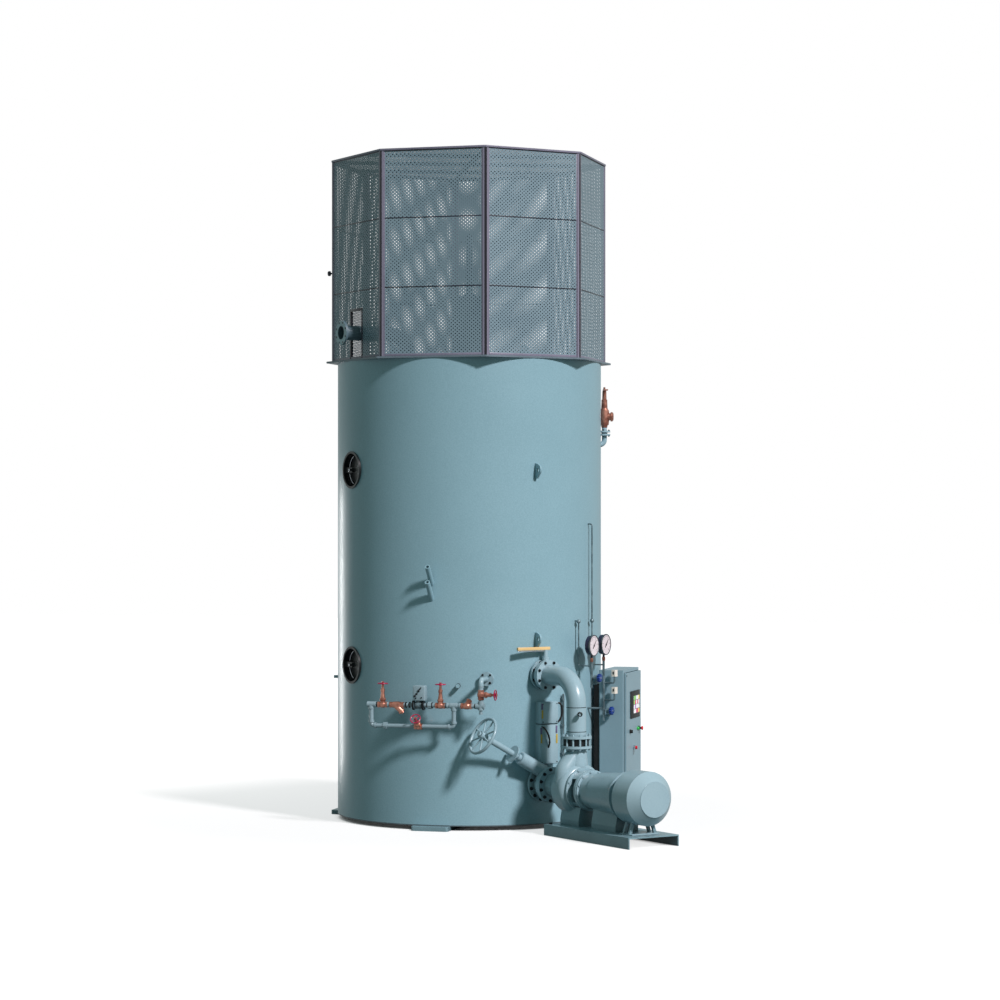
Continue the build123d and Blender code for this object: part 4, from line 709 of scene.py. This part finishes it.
for level, away in ((1.1, 1), (0.963, -1)):
    bolted(paintedBolts, upright(neck, level), away, radius=pump["riserBolts"], **{**medium, "count": 12})
for turn in turns(12):
    paintedBolts.spin(upright(neck + Vector((cos(turn), sin(turn), 0)) * pump["riserBolts"], pump["studLevel"]),
                      [(-0.04, 0.012), (0.04, 0.012)], 8)
bolted(darkBolts, stand((0.633, -1.5199, 1.716), (0, -1, 0)), 1, radius=0.0615, turn=0.78,
       **{**small, "count": 4})
for level, away in ((4.558, 1), (4.5, -1)):
    bolted(darkBolts, upright(outward(115) * 1.625, level), away, radius=0.054, **{**small, "count": 4})
darkBolts.add(boltRow.make(count=1, headRadius=0.022, headHeight=0.02),
              onPump(2.15, 0.124, -0.28) @ Matrix.Rotation(-pi / 2, 4, "X"))
piece("flangeBolts", darkBolts, "darkBolt", "black_iron")
piece("paintedBolts", paintedBolts, "pumpPaint", "pump_paint")

# The long valve stem's bonnet and sleeve, and its handwheel with a thick rim
bonnet = Shape()
bonnet.spin(stand(stemFoot, stemWay), [
    (-0.02, 0.108), (0.034, 0.108), (0.034, 0.078), (0.41, 0.078), (0.42, 0.066), (0.42, 0.04), (0.46, 0.04),
    (0.46, 0.026), (0.52, 0.026), (0.52, 0.1), (0.532, 0.1), (0.532, 0.034), (0.9375, 0.034), (0.9375, 0.016),
    (1.024, 0.016), (1.024, 0.028), (1.046, 0.028)], 56)
piece("stemBonnet", bonnet, "pumpPaint", "pump_paint", "suction_bonnet")
wheel = {"at": 0.978, "rim": 0.211, "thick": 0.018, "hub": 0.041, "bore": 0.0165, "spoke": 0.0105, "spokes": 8}
wheelAt = stand(stemFoot + stemWay * wheel["at"], stemWay, outward(pump["angle"]))
handwheel = Shape()
handwheel.spin(wheelAt, [(wheel["thick"] * sin(turn), wheel["rim"] + wheel["thick"] * cos(turn))
                         for turn in turns(14)], 72, True)
handwheel.spin(wheelAt, [(end * wheel["hub"], wheel[wall]) for end, wall in
                         ((-1, "bore"), (-1, "hub"), (1, "hub"), (1, "bore"))], 32, True)
for turn in turns(wheel["spokes"], 0.5):
    way = wheelAt.to_3x3() @ Vector((cos(turn), sin(turn), 0))
    handwheel.spin(stand(wheelAt.translation, way, stemWay),
                   [(0.03, wheel["spoke"]), (0.205, wheel["spoke"] * 0.85)], 12)
piece("suctionHandwheel", handwheel, "pumpPaint", "pump_paint", "suction_wheel", body="suction_wheel")

# The discharge valve's lever: a deep bar over a bright strap
leverAt = onBoiler(pump["angle"], 1.625, 2.033)
leverBar, strap = Shape(), Shape()
leverBar.bar(leverAt, (0.435, 0.036, 0.034), (-0.1625, 0.015, 0), 0.004)
strap.bar(leverAt, (0.35, 0.01, 0.03), (-0.205, -0.012, 0), 0.002)
for name, shape, finish, slot in (("leverBar", leverBar, "leverPaint", "lever_paint"),
                                  ("leverStrap", strap, "brightSteel", "pipe_steel")):
    piece(name, shape, finish, slot, "discharge_lever", body="discharge_lever")

# Manways: painted highlights, bright arcs for the lit rims inside the neck, and the yoke bolt's end
manway = {"angle": -45, "levels": (1.827, 4.076), "reach": 1.492, "arc": 0.172, "boltReach": 1.584}
edges = Shape()
for height in manway["levels"]:
    at = onBoiler(manway["angle"], manway["reach"], height)
    for centre, low, high in ((0.0, 112, 172), (0.0, 188, 248), (0.215, 130, 230)):
        bends = [radians(low + (high - low) * k / 8) for k in range(9)]
        edges.rod([at @ Vector((centre + manway["arc"] * cos(bend), manway["arc"] * sin(bend), 0))
                   for bend in bends], 0.0065)
    edges.spin(onBoiler(manway["angle"], manway["boltReach"], height),
               [(-0.004, 0.014), (0.003, 0.014), (0.005, 0.01)], 20)
piece("manwayEdges", edges, "brightSteel", "pipe_steel")

# Fittings on the feed trim: collars where pipes screw in, and the dark joints beside them
feed = {"reach": -1.744, "main": 1.424, "bypass": 1.186, "left": -0.649, "join": 0.319}
collars, joints = Shape(), Shape()


def onFeed(x, level, way=(1, 0, 0)):
    return stand((x, feed["reach"], level), way, (0, 1, 0) if way[2] == 0 else (1, 0, 0))


def collar(shape, x, level, radius, length, way=(1, 0, 0)):
    shape.spin(onFeed(x, level, way), [(-length / 2, radius - 0.004), (-length / 2 + 0.003, radius),
                                       (length / 2 - 0.003, radius), (length / 2, radius - 0.004)], 28)


for x, level, radius, length in (
        (-0.603, "main", 0.033, 0.026), (-0.455, "main", 0.031, 0.022), (0.04, "main", 0.038, 0.04),
        (0.245, "main", 0.033, 0.022), (0.319, "main", 0.031, 0.09), (0.392, "main", 0.033, 0.022),
        (-0.6, "bypass", 0.032, 0.024), (-0.478, "bypass", 0.039, 0.032), (0.262, "bypass", 0.032, 0.026),
        (0.585, "main", 0.033, 0.026)):
    collar(collars, x, feed[level], radius, length)
for x, level in ((feed["left"], feed["main"] - 0.04), (feed["left"], feed["bypass"] + 0.046),
                 (feed["join"], feed["main"] - 0.046), (feed["join"], feed["bypass"] + 0.046), (0.633, 1.47),
                 (0.633, 1.64)):
    collar(collars, x, level, 0.033, 0.024, (0, 0, 1))
for x, radius, length in (
        (-0.584, 0.029, 0.01), (-0.238, 0.035, 0.014), (-0.196, 0.035, 0.014), (0.014, 0.035, 0.012),
        (0.066, 0.035, 0.012), (0.23, 0.029, 0.008), (0.566, 0.03, 0.01)):
    collar(joints, x, feed["main"], radius, length)
for x in (-0.149, -0.034):
    joints.spin(onFeed(x, feed["main"]), [(-0.009, 0.056), (0.009, 0.056)], 32)
piece("feedCollars", collars, "pipePaint", "pipe_paint")
piece("feedJoints", joints, "blackIron", "black_iron")

# The steam outlet's flange face, with black discs as painted shade in its bolt holes
steam = {"bore": 0.0775, "face": 0.1385, "bolts": 0.12065, "hole": 0.0125, "skin": 0.0008}
steamFace = onBoiler(-45, 1.69, 5.655)
facing, holes = Shape(), Shape()
facing.spin(steamFace, [(0, steam["bore"]), (0, steam["face"]), (steam["skin"], steam["face"]),
                        (steam["skin"], steam["bore"])], 64, True)
for turn in turns(8, 0.5):
    holes.spin(moved(steamFace, steam["bolts"] * cos(turn), steam["bolts"] * sin(turn), 0.0006),
               [(0, steam["hole"]), (steam["skin"], steam["hole"])], 16)
piece("steamFlangeFace", facing, "pumpPaint", "pump_paint")
piece("steamFlangeHoleShades", holes, "blackPlastic", "black_plastic")

# Weld rings and the capped stub's dark band
rings = Shape()
for level in (1.148, 1.418):
    rings.spin(upright(neck, level),
               [(-0.004, 0.109), (-0.003, 0.1112), (0.003, 0.1112), (0.004, 0.109)], 64, True)
rings.spin(onBoiler(11.4, 1.55, 1.636),
           [(0.004, 0.015), (0.004, 0.026), (0.06, 0.026), (0.06, 0.015)], 32, True)
rings.spin(stand(neck + Vector((0, 0, 1.35)), outward(28)),
           [(0.15, 0.017), (0.15, 0.027), (0.178, 0.027), (0.182, 0.017)], 24, True)
piece("weldRings", rings, "blackIron", "black_iron")
footPlate = Shape()
footPlate.bar(onPump(3.455, 0.13), (0.36, 0.012, 0.24), edge=0.003)
piece("motorFootPlate", footPlate, "pumpPaint", "pump_paint")

# Gauges: dial, marks, figures, needle and a bright bezel
gauge = {"angle": 77, "reach": 1.734, "level": 2.065, "sides": (-0.248, 0.062), "face": 0.0315, "bezel": 0.112}
dials, marks, needles, bezels, fittings = (Shape() for _ in range(5))


def figure(text, size):
    # A flat digit, as a dial carries
    curve = bpy.data.curves.new("figure", "FONT")
    curve.body, curve.size, curve.align_x, curve.align_y = text, size, "CENTER", "CENTER"
    curve.resolution_u = 2
    return bake(linked("figure", curve))


for side in gauge["sides"]:
    at = onBoiler(gauge["angle"], gauge["reach"] + gauge["face"], gauge["level"], side)
    dials.spin(at, [(0, gauge["bezel"] - 0.001), (0.0012, gauge["bezel"] - 0.001)], 64)
    over = moved(at, z=0.0016)
    marks.add(dialMarks.make(count=51, radius=0.097, length=0.007, width=0.0016), over)
    marks.add(dialMarks.make(count=11, radius=0.094, length=0.015, width=0.0036), over)
    for number in range(6):
        turn = radians(-135 + 54 * number)
        marks.add(figure(str(number * 4), 0.02), moved(over, 0.074 * sin(turn), 0.074 * cos(turn), 0.0002))
    tip = moved(at, z=0.0028) @ Matrix.Rotation(radians(-42), 4, "Z")
    needles.prism(tip, [(-0.007, -0.045), (0.007, -0.045), (0.006, 0.03), (0.0018, 0.084), (-0.0018, 0.084),
                        (-0.006, 0.03)], 0.0012)
    needles.spin(tip, [(0, 0.014), (0.003, 0.012)], 24)
    bezels.spin(moved(at, z=-gauge["face"]),
                [(0.0235, 0.1135), (0.0235, 0.1222), (0.034, 0.1222), (0.0385, 0.1195), (0.0385, 0.115),
                 (0.034, 0.1118), (0.031, 0.1118), (0.031, 0.1135)], 64, True)
    foot = upright(moved(at, y=-0.176, z=-gauge["face"]).translation)
    fittings.spin(foot, [(-0.012, 0.017), (0.004, 0.019), (0.026, 0.019), (0.034, 0.015)], 6)
piece("dialFaces", dials, "dialWhite", "white_plastic")
piece("dialMarks", marks, "blackPlastic", "black_plastic")
piece("dialNeedles", needles, "blackPlastic", "black_plastic")
piece("dialBezels", bezels, "boltSteel", "pipe_steel")
piece("gaugeFittings", fittings, "bronze", "bronze", smooth=20)

# Lobed knobs on the gauge valves, and the windows of the pressure switches
lobe = {"radius": 0.044, "depth": 0.0045, "lobes": 10, "thick": 0.034, "edge": 0.004}
for name, side, level in (("upper", gauge["sides"][0], 1.697), ("lower", gauge["sides"][1], 1.305)):
    at = onBoiler(gauge["angle"], gauge["reach"] + 0.0842, level, side)
    node = "gauge_knob_" + name
    lobed, cap = Shape(), Shape()
    reaches = [(turn, lobe["radius"] + lobe["depth"] * cos(lobe["lobes"] * turn)) for turn in turns(120)]
    lobed.prism(at, [(reach * cos(turn), reach * sin(turn)) for turn, reach in reaches], lobe["thick"],
                lobe["edge"])
    cap.spin(moved(at, z=lobe["thick"]), [(0, 0.012), (0.003, 0.011), (0.004, 0.008)], 24)
    piece("knob_" + name, lobed, "knobPaint", "knob_paint", node, body=node)
    piece("knobCap_" + name, cap, "brightSteel", "pipe_steel", node, body=node)
windows = Shape()
for level in (1.737, 1.54):
    case = onBoiler(gauge["angle"], gauge["reach"] + 0.139, level, gauge["sides"][1] - 0.0335)
    windows.prism(stand(case.translation, sideways(gauge["angle"]) * -1),
                  [(0.009 * cos(turn) + 0.002, 0.018 * sin(turn) + 0.004) for turn in turns(24)], 0.002, 0.0006)
piece("switchWindows", windows, "blackPlastic", "black_plastic")
print("gauges done")

# The operator panel: a picture of plain blocks behind a black frame, and the round controls under it
panel = {"face": 1.953, "low": 0.085, "wide": 0.3, "bottom": 1.243, "tall": 0.205, "frameWide": 0.465,
         "frameTall": 0.315, "frameAt": (0.182, 1.351), "columns": 5, "rows": 4, "lineAcross": 0.07,
         "lineUp": 0.1}
display = Finish("display")
sides = display.node("ShaderNodeSeparateXYZ", inputs={0: display.place})
across = (sides.output(1) - panel["low"]) / (panel["wide"] / panel["columns"])
up = (sides.output(2) - panel["bottom"]) / (panel["tall"] / panel["rows"])
cell = across.math("FLOOR", across) * 12.9898 + up.math("FLOOR", up) * 78.233
pick = cell.math("FRACT", cell.math("SINE", cell) * 43.7)
stops = ((0.0, 238, 236, 240), (0.22, 96, 190, 226), (0.36, 240, 214, 60), (0.5, 240, 238, 240),
         (0.62, 214, 44, 96), (0.74, 120, 196, 90), (0.84, 170, 120, 190), (0.92, 250, 250, 250))
tints = display.node("ShaderNodeValToRGB", {"stops": [(stop, shade(*tone)) for stop, *tone in stops]},
                     {0: pick})
tints.socket.node.color_ramp.interpolation = "CONSTANT"
border = across.math("MAXIMUM", across.math("FRACT", across) < panel["lineAcross"],
                     up.math("FRACT", up) < panel["lineUp"])
picture = display.mix(border, tints, shade(34, 36, 44))
finishes["display"] = display.surface({"Base Color": picture, "Roughness": 0.16, "Emission Color": picture,
                                       "Emission Strength": 0.35})


def onDoor(side, level, out=0.0):
    return stand((panel["face"] + out, side, level), (1, 0, 0), (0, 1, 0))


picturePane, rimPane, blackKnobs, chrome, redCaps, lamp = (Shape() for _ in range(6))
picturePane.bar(onDoor(panel["low"] + panel["wide"] / 2, panel["bottom"] + panel["tall"] / 2, 0.0127),
                (panel["wide"], panel["tall"], 0.0012))
rimPane.bar(onDoor(*panel["frameAt"]), (panel["frameWide"], panel["frameTall"], 0.012), (0, 0, 0.006), 0.004)
keyKnob, redKnob, keySwitch = onDoor(-0.06, 1.048), onDoor(0.4, 1.056), onDoor(0.13, 0.848)
blackKnobs.spin(keyKnob, [(0, 0.024), (0.008, 0.024), (0.01, 0.021), (0.024, 0.019), (0.026, 0.017)], 32)
blackKnobs.bar(keyKnob, (0.008, 0.036, 0.01), (0, 0, 0.03), 0.002)
blackKnobs.spin(redKnob, [(0, 0.026), (0.01, 0.026), (0.012, 0.014), (0.036, 0.014)], 32)
redCaps.spin(redKnob, [(0.036, 0.014), (0.038, 0.024), (0.046, 0.024), (0.052, 0.018), (0.054, 0.009)], 40)
redCaps.spin(keySwitch, [(0.024, 0.02), (0.042, 0.02), (0.045, 0.015)], 32)
chrome.spin(keySwitch, [(0, 0.03), (0.012, 0.03), (0.015, 0.024), (0.0242, 0.023)], 40)
chrome.bar(onDoor(0.1, 0.796, 0.01), (0.016, 0.056, 0.004), edge=0.001)
lamp.spin(onDoor(0.335, 1.056), [(0, 0.02), (0.014, 0.02), (0.022, 0.015), (0.026, 0.008)], 28)
catches = Shape()
for level in (0.15, 1.7):
    catches.add(boltCircle.make(count=4, radius=0.006, headRadius=0.004, headHeight=0.003, studRadius=0.001,
                                studLength=0.001), onDoor(-0.225, level))
for name, shape, finish, slot, *replaced in (
        ("screenPicture", picturePane, "display", "black_plastic"),
        ("screenRim", rimPane, "blackPlastic", "black_plastic", "door_controls"),
        ("doorKnobs", blackKnobs, "blackPlastic", "black_plastic"),
        ("doorKeySwitch", chrome, "brightSteel", "pipe_steel"),
        ("doorRedCaps", redCaps, "redPlastic", "wheel_paint"),
        ("doorLamp", lamp, "greenPlastic", "black_plastic"),
        ("doorCatches", catches, "darkBolt", "black_iron")):
    piece(name, shape, finish, slot, *replaced, body="cabinet_door")

# Instrument boxes with raised lids, the cable between them and the conduit beside them
box = {"angle": 49.3, "upper": (1.196, 1.443, 0.235, 1.66), "lower": (0.741, 1.188, 0.25, 1.65), "back": 1.515,
       "lid": 0.014, "lidInset": 0.01, "boltInset": 0.022}
boxes, boxBolts = Shape(), Shape()
for low, high, wide, reach in (box["upper"], box["lower"]):
    depth = reach - box["back"]
    at = onBoiler(box["angle"], reach - depth / 2, (low + high) / 2)
    boxes.bar(at, (wide, high - low, depth - 0.012), (0, 0, -0.006), 0.004)
    boxes.bar(at, (wide - box["lidInset"], high - low - box["lidInset"], box["lid"]),
              (0, 0, (depth - box["lid"]) / 2), 0.004)
    for level in (low + box["boltInset"], high - box["boltInset"]):
        boxBolts.add(boltRow.make(count=2, step=wide - 2 * box["boltInset"], headRadius=0.007,
                                  headHeight=0.004),
                     onBoiler(box["angle"], reach, level))
piece("instrumentBoxes", boxes, "pumpPaint", "cabinet_paint", "instrument_boxes")
yellow, purple, cables = Shape(), Shape(), Shape()
for shape, side, level, tall in (
        (yellow, -0.104, 1.304, 0.095), (purple, -0.108, 1.392, 0.068), (yellow, -0.11, 1.028, 0.1),
        (purple, -0.114, 1.118, 0.075), (yellow, 0.1, 1.024, 0.105), (purple, 0.096, 1.13, 0.085)):
    reach = box["upper"][3] if level > box["upper"][0] else box["lower"][3]
    shape.bar(onBoiler(box["angle"], reach, level, side), (0.022, tall, 0.004), (0, 0, 0.002), 0.0008)
piece("yellowTags", yellow, "yellowTag", "white_plastic")
piece("purpleTags", purple, "purpleTag", "white_plastic")
piece("boxBolts", boxBolts, "darkBolt", "black_iron")
for radius, places in (
        (0.01, ((1.65, 1.16, -0.085), (1.69, 1.14, -0.08), (1.7, 1.06, -0.04), (1.69, 0.98, -0.02),
                 (1.652, 0.93, -0.015))),
        (0.011, ((1.62, 1.42, 0.11), (1.64, 1.44, 0.16), (1.64, 1.33, 0.19), (1.63, 1.22, 0.16),
                 (1.61, 1.19, 0.115)))):
    cables.rod([onBoiler(box["angle"], *place).translation for place in places], radius)
piece("boxCables", cables, "blackPlastic", "black_plastic")
conduit = Shape()
conduit.rod([onBoiler(58.4, 1.585, level).translation for level in (0.78, 1.0, 1.3, 1.52)], 0.012)
for level in (0.84, 1.16, 1.46):
    conduit.bar(onBoiler(58.4, 1.568, level), (0.04, 0.022, 0.04), edge=0.003)
piece("conduit", conduit, "pipeSteel", "pipe_steel")

# The control valve's pale actuator case with its dark screws, over its body
actuator = Shape()
actuator.bar(stand((-0.077, -1.744, 1.56), (0, -1, 0)), (0.142, 0.172, 0.104), edge=0.012, steps=3)
piece("actuatorCase", actuator, "pipePaint", "pipe_paint")
caseBolts = Shape()
for x, level, radius in ((-0.122, 1.528, 0.013), (-0.1, 1.553, 0.011), (-0.078, 1.586, 0.014),
                         (-0.062, 1.607, 0.009), (-0.05, 1.622, 0.007), (-0.11, 1.505, 0.008),
                         (-0.045, 1.51, 0.008)):
    caseBolts.spin(stand((x, -1.7955, level), (0, -1, 0)),
                   [(0, radius), (0.008, radius), (0.011, radius * 0.7)], 20)
piece("actuatorFittings", caseBolts, "darkBolt", "black_iron")
print("details done")

bpy.context.view_layer.update()
